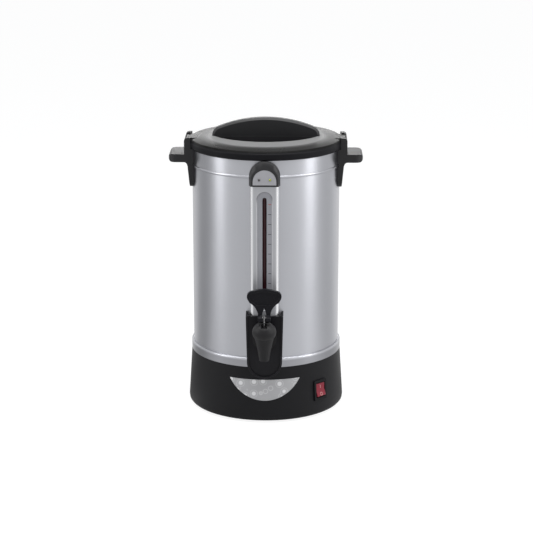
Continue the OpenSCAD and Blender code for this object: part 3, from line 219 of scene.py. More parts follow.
paper = bpy.data.materials.new("white_paper")
paper.use_nodes = True
tree = paper.node_tree
tree.nodes.clear()
plain = add(tree, "ShaderNodeBsdfDiffuse", Color=paper_tone)
soft = add(tree, "ShaderNodeBsdfDiffuse", Color=shadow_tone)
glow = add(tree, "ShaderNodeEmission", Color=white, Strength=paper_glow)
both = add(tree, "ShaderNodeAddShader")
link(soft.outputs[0], both.inputs[0])
link(glow.outputs[0], both.inputs[1])
heading = vector_node(tree, "NORMALIZE", object_point(tree)).outputs[0]
mirrored = add(tree, "ShaderNodeEmission", Color=white)
link(studio_shade(tree, heading), mirrored.inputs["Strength"])
shown = mix_shaders(tree, seen_rays(tree), plain.outputs[0], both.outputs[0])
glossy_ray = add(tree, "ShaderNodeLightPath").outputs["Is Glossy Ray"]
shown = mix_shaders(tree, glossy_ray, shown, mirrored.outputs[0])
link(shown, add(tree, "ShaderNodeOutputMaterial").inputs["Surface"])
floor_mesh.materials.append(paper)
print("floor", floor.dimensions[:2])

# %% [markdown]
# ## Room
# Steel and gloss show the room around them. A photographed surround could be loaded, but a few ramps over
# the direction of a ray leave every band under control: walls that get dimmer upwards, a bright ceiling,
# and a glow at both sides. The camera itself sees plain white.

# %% Room
wall_low, wall_high, wall_bright, wall_dim = 0.30, 0.55, 0.85, 0.4
ceiling_low, ceiling_high, ceiling_glow = 0.75, 0.92, 1.8
side_near, side_far, side_glow = 0.25, 0.60, 0.55
fill_tone, fill_strength = (0.95, 0.97, 1.0, 1.0), 0.45
room = bpy.data.worlds.new("studio_room")
scene.world = room
room.use_nodes = True
tree = room.node_tree
tree.nodes.clear()
heading = add(tree, "ShaderNodeTexCoord").outputs["Generated"]
across, _, up = split(tree, heading)
walls = math_node(tree, "MULTIPLY", studio_shade(tree, heading),
                  ramp(tree, up, wall_low, wall_high, wall_bright, wall_dim))
ceiling = ramp(tree, up, ceiling_low, ceiling_high, 0.0, ceiling_glow)
sides = ramp(tree, math_node(tree, "ABSOLUTE", across), side_near, side_far, 0.0, side_glow)
mirrored = add(tree, "ShaderNodeBackground", Color=white)
link(math_node(tree, "ADD", walls, math_node(tree, "MAXIMUM", ceiling, sides)), mirrored.inputs["Strength"])
fill = add(tree, "ShaderNodeBackground", Color=fill_tone, Strength=fill_strength)
clear = add(tree, "ShaderNodeBackground", Color=white, Strength=1.0)
shown = mix_shaders(tree, seen_rays(tree), fill.outputs[0], mirrored.outputs[0])
camera_ray = add(tree, "ShaderNodeLightPath").outputs["Is Camera Ray"]
shown = mix_shaders(tree, camera_ray, shown, clear.outputs[0])
link(shown, add(tree, "ShaderNodeOutputWorld").inputs["Surface"])
print("room fill", fill_strength)

# %% [markdown]
# ## Soft boxes
# Two tall soft boxes at the sides draw the bright stripes on the shell, a broad one above fills the
# plastics, and a low one behind brings up the lid. Point lamps would light the urn too, but they make hard
# dots on steel. Area lamps of a real box's size give soft stripes, and low watts keep the colours from
# bleaching.

# %% Soft boxes
lamp_aim = Vector((0.0, 0.0, 0.25))
# name: degrees around from the front, degrees up, metres away, width, height, watts
boxes = {
    "stripe_left": (-71, 32, 0.95, 0.26, 1.1, 4.0),
    "stripe_right": (70, 32, 0.95, 0.27, 1.1, 4.8),
    "overhead": (10, 72, 1.9, 1.5, 1.2, 25.0),
    "behind": (180, 15, 1.6, 0.9, 0.12, 1.8),
}
for name, (turn, rise, far, wide, high, watts) in boxes.items():
    lamp = bpy.data.lights.new(name, "AREA")
    lamp.shape = "RECTANGLE"
    lamp.size = wide
    lamp.size_y = high
    lamp.energy = watts
    box = bpy.data.objects.new(name, lamp)
    scene.collection.objects.link(box)
    out = heading_of(math.radians(turn), math.radians(rise))
    box.location = lamp_aim + out * far
    box.rotation_euler = out.to_track_quat("Z", "Y").to_euler()
    box.visible_camera = False
print("lamps", list(boxes))

# %% [markdown]
# ## Shared surface effects
# Real surfaces repeat the same few habits: moulded plastic has a fine grain, rolled sheet has brush lines,
# edges are rubbed brighter, here also lightened as a painted highlight on the edges, and dust lies on what
# faces up. Each could be wired again in every material. As a node group it is built once and placed wherever
# it is needed, with values of its own.

# %% Group helper
number = "NodeSocketFloat"


def new_group(name, inputs, outputs):
    """Shader group with number inputs {name: value} and outputs {name: kind}, and its two end nodes."""
    group = bpy.data.node_groups.new(name, "ShaderNodeTree")
    for label, value in inputs.items():
        socket = group.interface.new_socket(label, in_out="INPUT", socket_type=number)
        socket.default_value = value
    for label, kind in outputs.items():
        group.interface.new_socket(label, in_out="OUTPUT", socket_type=kind)
    print("group", name, "takes", list(inputs), "gives", list(outputs))
    return group, group.nodes.new("NodeGroupInput"), group.nodes.new("NodeGroupOutput")


# %% [markdown]
# ### Mould grain
# The tool that moulds a plastic piece is etched, so the piece has a fine grain, and its tone drifts a
# little over a hand's width. A picture could be wrapped around the piece. Noise at the piece's own points
# needs no unwrapping and has no seam, so one fine and one broad noise give the grain and the drift.

# %% Mould grain


def noise(tree, vector, **values):
    """Noise texture at a point."""
    node = add(tree, "ShaderNodeTexNoise", **values)
    link(vector, node.inputs["Vector"])
    return node


mould_grain, came, gone = new_group("mould_grain", {"Scale": 900.0}, {"Height": number, "Tone": number})
point = object_point(mould_grain)
fine = noise(mould_grain, point, Detail=3.0, Roughness=0.6)
link(came.outputs["Scale"], fine.inputs["Scale"])
broad = noise(mould_grain, point, Scale=14.0, Detail=4.0)
link(fine.outputs["Fac"], gone.inputs["Height"])
link(broad.outputs["Fac"], gone.inputs["Tone"])

# %% [markdown]
# ### Rubbed edges and painted edge highlights
# Hands and cloths rub the corners of a piece brighter and leave its faces alone, and the lightening here is
# also a painted highlight on the edges. The corners could be painted by hand. A bevel node gives the
# direction that a rounded corner would have, which differs from the true one only near an edge, so this mask
# finds every edge by itself. Noise breaks it up.

# %% Rubbed edges and painted edge highlights
# Edges are lightened partly as rubbed wear and partly as a painted highlight on the edges.
edge_turn_gain, patch_gain = 4.0, 1.6
edge_rub_and_highlight, came, gone = new_group("edge_rub_and_highlight", {"Radius": 0.0008, "Amount": 1.0}, {"Mask": number})
rounded = add(edge_rub_and_highlight, "ShaderNodeBevel", samples=6)
link(came.outputs["Radius"], rounded.inputs["Radius"])
facing = add(edge_rub_and_highlight, "ShaderNodeNewGeometry").outputs["Normal"]
same = vector_node(edge_rub_and_highlight, "DOT_PRODUCT", rounded.outputs["Normal"], facing).outputs["Value"]
turned = math_node(edge_rub_and_highlight, "MULTIPLY", math_node(edge_rub_and_highlight, "SUBTRACT", 1.0, same), edge_turn_gain)
patchy = noise(edge_rub_and_highlight, object_point(edge_rub_and_highlight), Scale=120.0, Detail=4.0).outputs["Fac"]
broken = math_node(edge_rub_and_highlight, "MULTIPLY", turned, math_node(edge_rub_and_highlight, "MULTIPLY", patchy, patch_gain))
mask = math_node(edge_rub_and_highlight, "MULTIPLY", broken, came.outputs["Amount"], clamp=True)
link(mask, gone.inputs["Mask"])

# %% [markdown]
# ### Brush lines around the vessel
# Sheet for a vessel is brushed along its length and then rolled, so its hair lines run around the wall. A
# stretched picture would need the wall unwrapped. Noise over the angle and the height does the same: it
# changes slowly around the axis and quickly up the wall. A broad cloud keeps the sheet from looking too
# even.

# %% Brush lines around the vessel
angle_stretch, hair_share, cloud_share = 2.2, 0.6, 0.4
round_brush, came, gone = new_group("round_brush", {"Lines": 1400.0}, {"Streak": number, "Height": number})
point = object_point(round_brush)
x, y, z = split(round_brush, point)
angle = math_node(round_brush, "ARCTAN2", x, y)
lines = add(round_brush, "ShaderNodeCombineXYZ")
link(math_node(round_brush, "MULTIPLY", angle, angle_stretch), lines.inputs["X"])
link(math_node(round_brush, "MULTIPLY", z, came.outputs["Lines"]), lines.inputs["Y"])
hair = noise(round_brush, lines.outputs[0], Scale=1.0, Detail=5.0, Roughness=0.65).outputs["Fac"]
cloud = noise(round_brush, point, Scale=9.0, Detail=3.0).outputs["Fac"]
streak = math_node(round_brush, "ADD", math_node(round_brush, "MULTIPLY", hair, hair_share),
                   math_node(round_brush, "MULTIPLY", cloud, cloud_share))
link(hair, gone.inputs["Height"])
link(streak, gone.inputs["Streak"])

# %% [markdown]
# ### Brush lines along a straight sheet
# The gauge's channel, the screws and the contacts are brushed along their length. An anisotropic gloss
# alone would smear the highlights but leave the surface blank. Noise that is stretched upwards turns into
# long hairs, and the same value can shade the colour, the gloss and the surface.

# %% Brush lines along a straight sheet
line_squeeze = 0.006
long_brush, came, gone = new_group("long_brush", {"Lines": 1600.0}, {"Streak": number, "Height": number})
stretch = add(long_brush, "ShaderNodeMapping")
stretch.inputs["Scale"].default_value = (1.0, 1.0, line_squeeze)
link(object_point(long_brush), stretch.inputs["Vector"])
hair = noise(long_brush, stretch.outputs[0], Detail=4.0, Roughness=0.6)
link(came.outputs["Lines"], hair.inputs["Scale"])
for label in ("Height", "Streak"):
    link(hair.outputs["Fac"], gone.inputs[label])

# %% [markdown]
# ### Dust
# A little dust lies on lids and handles. It could be scattered as specks of geometry, which is far too
# heavy for so thin a film. The direction of a face says whether dust can lie on it, and noise makes the
# film uneven.

# %% Dust on what faces up
lies_from, lies_fully = 0.6, 1.0
dust, came, gone = new_group("dust", {"Amount": 0.3}, {"Mask": number})
up = split(dust, add(dust, "ShaderNodeNewGeometry").outputs["Normal"])[2]
specks = noise(dust, object_point(dust), Scale=60.0, Detail=6.0, Roughness=0.7).outputs["Fac"]
lying = math_node(dust, "MULTIPLY", ramp(dust, up, lies_from, lies_fully), specks)
mask = math_node(dust, "MULTIPLY", lying, came.outputs["Amount"], clamp=True)
link(mask, gone.inputs["Mask"])

# %% [markdown]
# ### Heading of turned faces
# A turned piece comes from the CAD as a ring of narrow flat faces, which show where light grazes them. More
# faces would hide them, but the mesh has to stay as it is. The true direction of such a face is known: it
# points straight away from the turning axis. So the lean of the face is kept and its heading is taken from
# the axis.

# %% Heading of turned faces
level_part, upright_part = (1.0, 1.0, 0.0), (0.0, 0.0, 1.0)
least_reach = 0.02
turned_from, turned_fully = 0.985, 0.995
turned_face, came, gone = new_group("turned_face", {"Centre X": 0.0, "Centre Y": 0.0},
                                    {"Normal": "NodeSocketVector"})
facing = add(turned_face, "ShaderNodeNewGeometry").outputs["Normal"]
axis = add(turned_face, "ShaderNodeCombineXYZ")
link(came.outputs["Centre X"], axis.inputs["X"])
link(came.outputs["Centre Y"], axis.inputs["Y"])
from_axis = vector_node(turned_face, "SUBTRACT", object_point(turned_face), axis.outputs[0]).outputs[0]
arm = vector_node(turned_face, "MULTIPLY", from_axis, level_part).outputs[0]
away = vector_node(turned_face, "NORMALIZE", arm).outputs[0]
level = vector_node(turned_face, "MULTIPLY", facing, level_part).outputs[0]
reach = vector_node(turned_face, "LENGTH", level).outputs["Value"]
along = vector_node(turned_face, "DOT_PRODUCT", facing, away).outputs["Value"]
match = math_node(turned_face, "DIVIDE", math_node(turned_face, "ABSOLUTE", along),
                  math_node(turned_face, "MAXIMUM", reach, least_reach))
is_turned = ramp(turned_face, match, turned_from, turned_fully)
heading = add(turned_face, "ShaderNodeVectorMath", operation="SCALE")
link(away, heading.inputs[0])
link(math_node(turned_face, "MULTIPLY", math_node(turned_face, "SIGN", along), reach),
     heading.inputs["Scale"])
lean = vector_node(turned_face, "MULTIPLY", facing, upright_part).outputs[0]
exact = vector_node(turned_face, "ADD", heading.outputs[0], lean).outputs[0]
chosen = add(turned_face, "ShaderNodeMix", data_type="VECTOR")  # sockets 4, 5 and result 1 are its vectors
link(is_turned, chosen.inputs[0])
link(facing, chosen.inputs[4])
link(exact, chosen.inputs[5])
normal = vector_node(turned_face, "NORMALIZE", chosen.outputs[1]).outputs[0]
link(normal, gone.inputs["Normal"])

# %% [markdown]
# ## Materials
# A finish on the real urn is one base substance with small changes over its surface. A material could be a
# picture for each property. Here it starts as a Principled BSDF with its constant values on its own
# sockets, and the groups vary its colour, roughness and bump, so that it holds at any distance.

# %% Material helpers
tone_low, tone_high = 0.25, 0.75  # most of a noise lies between these


def new_material(name, **sockets):
    """Material with a Principled BSDF; sockets are constant values, spaces written as underscores."""
    material = bpy.data.materials.new(name)
    material.use_nodes = True
    tree = material.node_tree
    tree.nodes.clear()
    shader = add(tree, "ShaderNodeBsdfPrincipled")
    for key, value in sockets.items():
        shader.inputs[key.replace("_", " ")].default_value = value
    link(shader.outputs[0], add(tree, "ShaderNodeOutputMaterial").inputs["Surface"])
    return material, tree, shader


def place_group(tree, group, **values):
    """Group node with its own input values."""
    node = add(tree, "ShaderNodeGroup", node_tree=group)
    for key, value in values.items():
        node.inputs[key].default_value = value
    return node


def blend(tree, factor, a, b):
    """Colour between a and b; each is a colour or a socket."""
    node = add(tree, "ShaderNodeMix", data_type="RGBA")  # sockets 6, 7 and result 2 are its colours
    link(factor, node.inputs["Factor"])
    for socket, value in ((node.inputs[6], a), (node.inputs[7], b)):
        if isinstance(value, tuple):
            socket.default_value = (*value, 1.0)
        else:
            link(value, socket)
    return node.outputs[2]


def spread(tree, value, low, high):
    """Map a noise on a range of its own."""
    return ramp(tree, value, tone_low, tone_high, low, high)


def bump(tree, shader, height, depth, axis=None):
    """Bump of a given depth in metres; axis is the x and y of a turned piece's axis."""
    node = add(tree, "ShaderNodeBump", Strength=1.0, Distance=depth)
    link(height, node.inputs["Height"])
    if axis:
        round_face = place_group(tree, turned_face, **{"Centre X": axis[0], "Centre Y": axis[1]})
        link(round_face.outputs["Normal"], node.inputs["Normal"])
    link(node.outputs[0], shader.inputs["Normal"])


print("helpers: new_material, place_group, blend, spread, bump")

# %% [markdown]
# ## Plastics
# Most of what is black on the urn is moulded, and no two mouldings have quite the same gloss: the base is
# dull, the grip and the handles shine a little. One black for all would be quick but flat. One recipe with
# a tone, a grain and rubbed edges, lightened partly as a painted edge highlight, is called for each moulding
# with values of its own.

# %% Plastic recipe
rough_less, rough_more = 0.05, 0.06
pale_start, pale_gain = 0.06, 1.6
dust_colour = (0.42, 0.41, 0.40)


def plastic(name, dark, light, *, rough, gloss=0.5, grain=1100.0, depth=2e-5, rub_and_highlight=0.35, dusty=0.0, axis=None,
            **sockets):
    """Moulded plastic: broad tone, fine grain, rubbed edges that are partly a painted edge highlight, and a
    little dust.
    """
    material, tree, shader = new_material(name, Specular_IOR_Level=gloss, **sockets)
    tone = place_group(tree, mould_grain, Scale=grain)
    edge_wear_and_light = place_group(tree, edge_rub_and_highlight, Amount=rub_and_highlight)
    colour = blend(tree, tone.outputs["Tone"], dark, light)
    pale = tuple(min(1.0, pale_start + pale_gain * c) for c in light)
    # Rubbed edges: partly wear, partly a painted highlight on the edges.
    colour = blend(tree, edge_wear_and_light.outputs["Mask"], colour, pale)
    if dusty:
        lying = place_group(tree, dust, Amount=dusty)
        colour = blend(tree, lying.outputs["Mask"], colour, dust_colour)
    link(colour, shader.inputs["Base Color"])
    link(spread(tree, tone.outputs["Tone"], rough - rough_less, rough + rough_more),
         shader.inputs["Roughness"])
    bump(tree, shader, tone.outputs["Height"], depth, axis)
    return material


print("plastic recipe defined")

# %% Plastics of the vessel
urn_axis = (0.0, 0.0)
black_moulding = plastic("black_moulding", (0.007, 0.007, 0.008), (0.012, 0.012, 0.0132),
                         rough=0.38, gloss=0.25, dusty=0.03)
rim_moulding = plastic("rim_moulding", (0.0055, 0.0055, 0.0066), (0.009, 0.009, 0.0105),
                       rough=0.42, gloss=0.07, axis=urn_axis)
# Painted reflection: the lid's steps give the flat top a grey tone and a strong sheen, which fall off step by
# step over the border.
lid_sheens = (1.00, 0.66, 0.40, 0.22, 0.10, 0.03)
lid_dark, lid_dark_painted_reflection, lid_light, lid_light_painted_reflection = 0.005, 0.045, 0.008, 0.060
painted_reflection_fall, gloss_fall, lid_rough, rough_fall, lid_gloss = 0.45, 0.7, 0.42, 0.03, 0.2
lid_painted_reflection_steps = [
    plastic(f"lid_reflection_paint_{step}", (lid_dark + lid_dark_painted_reflection * painted_reflection_fall ** step,) * 3,
            (lid_light + lid_light_painted_reflection * painted_reflection_fall ** step,) * 3,
            rough=lid_rough - rough_fall * step, gloss=lid_gloss * gloss_fall ** step,
            dusty=0.03, axis=urn_axis, Sheen_Weight=sheen, Sheen_Roughness=0.3)
    for step, sheen in enumerate(lid_sheens)]
grip_moulding = plastic("grip_moulding", (0.007, 0.007, 0.008), (0.012, 0.012, 0.0132),
                        rough=0.40, gloss=0.3, dusty=0.03)
hood_moulding = plastic("hood_moulding", (0.010, 0.010, 0.011), (0.016, 0.016, 0.0172), rough=0.50, gloss=0.3)
base_moulding = plastic("base_moulding", (0.0058, 0.0058, 0.0068), (0.0085, 0.0085, 0.0098),
                        rough=0.48, gloss=0.13, grain=1300.0, depth=3e-5, axis=urn_axis)
print("vessel plastics, lid finishes", len(lid_painted_reflection_steps))

# %% Plastics of the tap and the switch
tap_axis = (0.0, -0.145)
shield_moulding = plastic("shield_moulding", (0.0055, 0.0053, 0.0068), (0.008, 0.0078, 0.0098),
                          rough=0.48, gloss=0.15, grain=1300.0, depth=3e-5)
tap_moulding = plastic("tap_moulding", (0.006, 0.0058, 0.0066), (0.010, 0.0097, 0.0108),
                       rough=0.50, gloss=0.22, grain=900.0, depth=1e-5, axis=tap_axis)
lever_moulding = plastic("lever_moulding", (0.0042, 0.0042, 0.0058), (0.0068, 0.0068, 0.009),
                         rough=0.40, gloss=0.11, grain=1000.0, depth=1e-5)
switch_black = plastic("switch_black", (0.004, 0.004, 0.005), (0.007, 0.007, 0.008),
                       rough=0.40, gloss=0.1, grain=1500.0, depth=1e-5, rub_and_highlight=0.1)
rocker_red = plastic("rocker_red", (0.145, 0.007, 0.018), (0.215, 0.012, 0.027), rough=0.34, gloss=0.3,
                     grain=700.0, depth=1e-5, rub_and_highlight=0.1, Subsurface_Weight=0.1, Subsurface_Scale=0.004)
print("tap and switch plastics made")

# %% Small plastics and rubbers
silicone = plastic("silicone", (0.62, 0.62, 0.60), (0.74, 0.74, 0.71), rough=0.55, grain=600.0, rub_and_highlight=0.0)
foot_rubber = plastic("foot_rubber", (0.012, 0.012, 0.012), (0.024, 0.024, 0.024),
                      rough=0.75, grain=900.0, depth=6e-5)
nut_plastic = plastic("nut_plastic", (0.66, 0.66, 0.63), (0.78, 0.78, 0.74), rough=0.42, grain=900.0, rub_and_highlight=0.1)
sensor_body = plastic("sensor_body", (0.16, 0.085, 0.04), (0.26, 0.15, 0.08),
                      rough=0.5, grain=500.0, depth=4e-5)
lead_cover = plastic("lead_cover", (0.10, 0.10, 0.115), (0.17, 0.17, 0.19),
                     rough=0.5, grain=1200.0, depth=1e-5, rub_and_highlight=0.0)
tube_cap = plastic("tube_cap", (0.020, 0.004, 0.007), (0.034, 0.007, 0.011),
                   rough=0.5, grain=700.0, depth=1e-5, rub_and_highlight=0.0)
lamp_dark = plastic("lamp_dark", (0.006, 0.004, 0.005), (0.012, 0.006, 0.007),
                    rough=0.16, grain=400.0, depth=0.0, rub_and_highlight=0.0, Coat_Weight=0.6)
lamp_green = plastic("lamp_green", (0.20, 0.23, 0.03), (0.30, 0.34, 0.05),
                     rough=0.18, grain=400.0, depth=0.0, rub_and_highlight=0.0, Coat_Weight=0.6)
print("materials so far", len(bpy.data.materials))

# %% [markdown]
# ## Metals
# The shell, the tank and the fasteners are brushed steel, the heater is cast and the contacts are brass. A
# plain metal with one roughness looks like chrome or like grey paint. The brush lines shade the colour, the
# gloss and the surface together, as the scratches of a real brush do.

# %% Metal recipe
metal_rub_and_highlight, rub_and_highlight_gain = 0.25, 1.25


def steel(name, group, dark, light, *, lines, rough, depth, axis=None, **sockets):
    """Metal with brush lines that shade its colour, its gloss and its surface."""
    material, tree, shader = new_material(name, Metallic=1.0, **sockets)
    brush = place_group(tree, group, Lines=lines)
    edge_wear_and_light = place_group(tree, edge_rub_and_highlight, Amount=metal_rub_and_highlight)
    colour = blend(tree, brush.outputs["Streak"], dark, light)
    # Rubbed edges: partly wear, partly a painted highlight on the edges.
    colour = blend(tree, edge_wear_and_light.outputs["Mask"], colour, tuple(min(1.0, rub_and_highlight_gain * c) for c in light))
    link(colour, shader.inputs["Base Color"])
    link(spread(tree, brush.outputs["Streak"], rough - rough_less, rough + rough_more),
         shader.inputs["Roughness"])
    bump(tree, shader, brush.outputs["Height"], depth, axis)
    return material, tree, shader


tank_steel = steel("tank_steel", round_brush, (0.52, 0.52, 0.53), (0.62, 0.62, 0.63),
                   lines=1100.0, rough=0.30, depth=4e-6)[0]
fastener_steel = steel("fastener_steel", long_brush, (0.46, 0.46, 0.47), (0.60, 0.60, 0.61),
                       lines=2200.0, rough=0.32, depth=5e-6)[0]
cast_aluminium = steel("cast_aluminium", round_brush, (0.56, 0.57, 0.58), (0.70, 0.70, 0.71),
                       lines=300.0, rough=0.48, depth=3e-5)[0]
element_steel = steel("element_steel", round_brush, (0.16, 0.15, 0.15), (0.30, 0.27, 0.24),
                      lines=500.0, rough=0.45, depth=1e-5)[0]
contact_brass = steel("contact_brass", long_brush, (0.58, 0.42, 0.16), (0.74, 0.57, 0.26),
                      lines=1800.0, rough=0.30, depth=4e-6)[0]
print("plain metals made")

# %% [markdown]
# ### Shell and foot ring
# The shell's hair lines run around it, so its highlights are drawn out into upright stripes. The stripes
# could be painted, but then they would not move with the light. An anisotropic gloss along the radial
# tangent draws them. The foot ring below is painted darker in a band of heights, a painted shade for the
# duller reflection of its lower band.

# %% Bands and paint


def within(tree, value, low, high, soft):
    """1 where a value lies between low and high, with soft edges."""
    rise = ramp(tree, value, low - soft, low + soft)
    fall = ramp(tree, value, high - soft, high + soft, 1.0, 0.0)
    return math_node(tree, "MULTIPLY", rise, fall)


def source(socket):
    """The socket that feeds this one."""
    return socket.links[0].from_socket


def paint_over(tree, shader, mask, colour):
    """Lay a colour over the base colour where the mask is 1."""
    base = shader.inputs["Base Color"]
    link(blend(tree, mask, source(base), colour), base)


print("helpers: within, source, paint_over")

# %% Shell and foot ring
ring_height, ring_under, ring_soft = 0.0102, 0.01, 0.0008
ring_painted_shade = (0.27, 0.273, 0.292)
shell_steel, tree, shader = steel("shell_steel", round_brush, (0.345, 0.35, 0.374), (0.397, 0.403, 0.430),
                                  lines=1500.0, rough=0.36, depth=4e-6, axis=urn_axis,
                                  Anisotropic=0.75, Anisotropic_Rotation=0.25)
around = add(tree, "ShaderNodeTangent", direction_type="RADIAL", axis="Z")
link(around.outputs[0], shader.inputs["Tangent"])
ring_low = min(corner[2] for corner in nodes["outer_shell"].bound_box)
z = split(tree, object_point(tree))[2]
# Painted shade: the band of heights over the foot ring is drawn darker than the rest of the steel.
ring_shade_band = within(tree, z, ring_low - ring_under, ring_low + ring_height, ring_soft)
paint_over(tree, shader, ring_shade_band, ring_painted_shade)
print("foot ring from", round(ring_low, 4))

# %% [markdown]
# ### Printed scale of the gauge
# The gauge's channel has a pressed panel, drawn as a darker strip, with short printed marks, the top one red.
# The print could be thin pieces laid on the steel, but it has no thickness worth modelling, so it goes into
# the steel's colour. The distance to the panel's middle line gives the strip, and the height, counted in
# marks, the marks. The panel's outline is painted light, a painted shade along its top arc and a painted
# highlight below it, and the channel's two bends carry a painted highlight.

# %% Shape of the print
panel_half, panel_low, panel_high = 0.01125, 0.1758, 0.3526
mark_top, mark_pitch, mark_count = 0.3343, 0.0147, 10
mark_from, mark_to, mark_half, mark_soft = 0.0052, 0.0097, 0.00045, 0.004
border_in, border_out = 0.0006, 0.0003
strip_soft, print_soft, count_soft = 0.0002, 0.0001, 0.01
half_count = 0.5
out_of_reach = 1.0  # metres or counts that no piece gets to


def distance(tree, a, b):
    """Length of a way that goes a along one axis and b along the other."""
    squares = [math_node(tree, "MULTIPLY", value, value) for value in (a, b)]
    return math_node(tree, "SQRT", math_node(tree, "ADD", *squares))


spine_steel, tree, shader = steel("spine_steel", long_brush, (0.35, 0.354, 0.374), (0.395, 0.40, 0.42),
                                  lines=1600.0, rough=0.52, depth=2e-6)
x, _, z = split(tree, object_point(tree))
over = math_node(tree, "SUBTRACT", z, panel_high - panel_half)
under = math_node(tree, "SUBTRACT", panel_low + panel_half, z)
past_end = math_node(tree, "MAXIMUM", math_node(tree, "MAXIMUM", over, under), 0.0)
from_middle = distance(tree, x, past_end)
strip = within(tree, from_middle, -out_of_reach, panel_half, strip_soft)
outline_painted_light = within(tree, from_middle, panel_half - border_in, panel_half + border_out, strip_soft)
marks_down = math_node(tree, "DIVIDE", math_node(tree, "SUBTRACT", mark_top, z), mark_pitch)
nearest = math_node(tree, "ROUND", marks_down)
off_mark = math_node(tree, "ABSOLUTE", math_node(tree, "SUBTRACT", marks_down, nearest))
mark = math_node(tree, "MULTIPLY", within(tree, off_mark, -out_of_reach, mark_half / mark_pitch, mark_soft),
                 within(tree, x, mark_from, mark_to, print_soft))
counted = within(tree, nearest, -half_count, mark_count - half_count, count_soft)
mark = math_node(tree, "MULTIPLY", mark, counted)
first = within(tree, nearest, -half_count, half_count, count_soft)
print("scale marks", mark_count)

# %% Colours of the print, with painted light on the outline and the bends
bend_from, bend_soft, bend_gloss = 0.0170, 0.0012, 0.24
straight_to, straight_soft = -0.002, 0.004
strip_paint = 0.7
bend_painted_highlight, strip_tone = (0.72, 0.725, 0.74), (0.255, 0.257, 0.278)
arc_painted_shade, side_painted_highlight = (0.19, 0.19, 0.20), (0.52, 0.523, 0.54)
black_ink, red_ink = (0.035, 0.033, 0.037), (0.30, 0.06, 0.06)
bend = within(tree, math_node(tree, "ABSOLUTE", x), bend_from, out_of_reach, bend_soft)
straight = within(tree, over, -out_of_reach, straight_to, straight_soft)
# Painted highlight: the channel's bends are lightened in colour, besides being made smoother below.
paint_over(tree, shader, bend, bend_painted_highlight)
paint_over(tree, shader, strip, strip_tone)
# Painted light on the panel's outline: a painted shade along the top arc and a painted highlight below it.
paint_over(tree, shader, outline_painted_light, blend(tree, straight, arc_painted_shade, side_painted_highlight))
paint_over(tree, shader, mark, blend(tree, first, black_ink, red_ink))
painted = math_node(tree, "MAXIMUM", math_node(tree, "MULTIPLY", strip, strip_paint), mark)
link(math_node(tree, "SUBTRACT", 1.0, painted), shader.inputs["Metallic"])
rough = source(shader.inputs["Roughness"])
link(math_node(tree, "SUBTRACT", rough, math_node(tree, "MULTIPLY", bend, bend_gloss)),
     shader.inputs["Roughness"])
print("bright bends beyond", bend_from)

# %% [markdown]
# ### Signs on the rocker
# The rocker's two halves carry the usual signs, a bar for on and a ring for off, in pale paint. They could
# be small raised pieces, but paint is flat, so they are masks in the colour. The switch sits at 45 degrees
# on the base, so the sideways distance runs along the diagonal.

# %% Signs on the rocker
rocker_middle, sign_soft = 0.0412, 0.0001
bar_half, bar_low, bar_high = 0.0006, 0.003, 0.0078
ring_drop, ring_inside, ring_outside = 0.0055, 0.0017, 0.0026
sign_paint, diagonal = (0.40, 0.20, 0.20), math.sqrt(0.5)


def recipe_of(material):
    """The node tree and the Principled BSDF of a material."""
    tree = material.node_tree
    return tree, next(node for node in tree.nodes if node.type == "BSDF_PRINCIPLED")


tree, shader = recipe_of(rocker_red)
x, y, z = split(tree, object_point(tree))
aside = math_node(tree, "MULTIPLY", math_node(tree, "ADD", x, y), diagonal)
rise = math_node(tree, "SUBTRACT", z, rocker_middle)
bar = math_node(tree, "MULTIPLY", within(tree, aside, -bar_half, bar_half, sign_soft),
                within(tree, rise, bar_low, bar_high, sign_soft))
from_ring = distance(tree, aside, math_node(tree, "ADD", rise, ring_drop))
ring = within(tree, from_ring, ring_inside, ring_outside, sign_soft)
paint_over(tree, shader, math_node(tree, "MAXIMUM", bar, ring), sign_paint)
print("rocker signs drawn")

# %% [markdown]
# ### Ridges on the paddle
# The lever's paddle is moulded with low ridges around its middle, so that a thumb doesn't slip. They could
# be cut into the mesh, but they are about a tenth of a millimetre high, so a bump shows them well enough.
# They are a wave of the distance to the middle, squeezed to the paddle's oval, and fade out before its rim.

# %% Ridges on the paddle
paddle_middle, ridge_pitch, ridge_height, paddle_oval = 0.2005, 0.0034, 0.00012, 1.75
ridge_reach, ridge_fade = 0.0185, 0.0015
tree, shader = recipe_of(lever_moulding)
x, _, z = split(tree, object_point(tree))
tall = math_node(tree, "MULTIPLY", math_node(tree, "SUBTRACT", z, paddle_middle), paddle_oval)
oval = distance(tree, x, tall)
wave = math_node(tree, "SINE", math_node(tree, "MULTIPLY", oval, 2 * math.pi / ridge_pitch))
ridges = math_node(tree, "MULTIPLY", wave, within(tree, oval, -out_of_reach, ridge_reach, ridge_fade))
ridge_bump = add(tree, "ShaderNodeBump", Strength=1.0, Distance=ridge_height)
link(ridges, ridge_bump.inputs["Height"])
grain_bump = source(shader.inputs["Normal"]).node
link(ridge_bump.outputs[0], grain_bump.inputs["Normal"])
print("paddle ridges", round(ridge_reach / ridge_pitch))

# %% [markdown]
# ### Silver sheets
# The crescent on the base and the face in the hood are satin silver sheets, and the crescent has a pale
# printed pattern. The pattern could be drawn dot by dot. A cell texture scatters its points by itself, and
# the distance to the nearest point gives both a dot and a thin ring around it.

# %% Silver sheets
sheet_depth = 1e-5
dot_core, dot_rim = 0.20, 0.30
circle_at, circle_core, circle_rim, circle_strength = 0.42, 0.015, 0.04, 0.45
print_tone = (0.60, 0.60, 0.61)


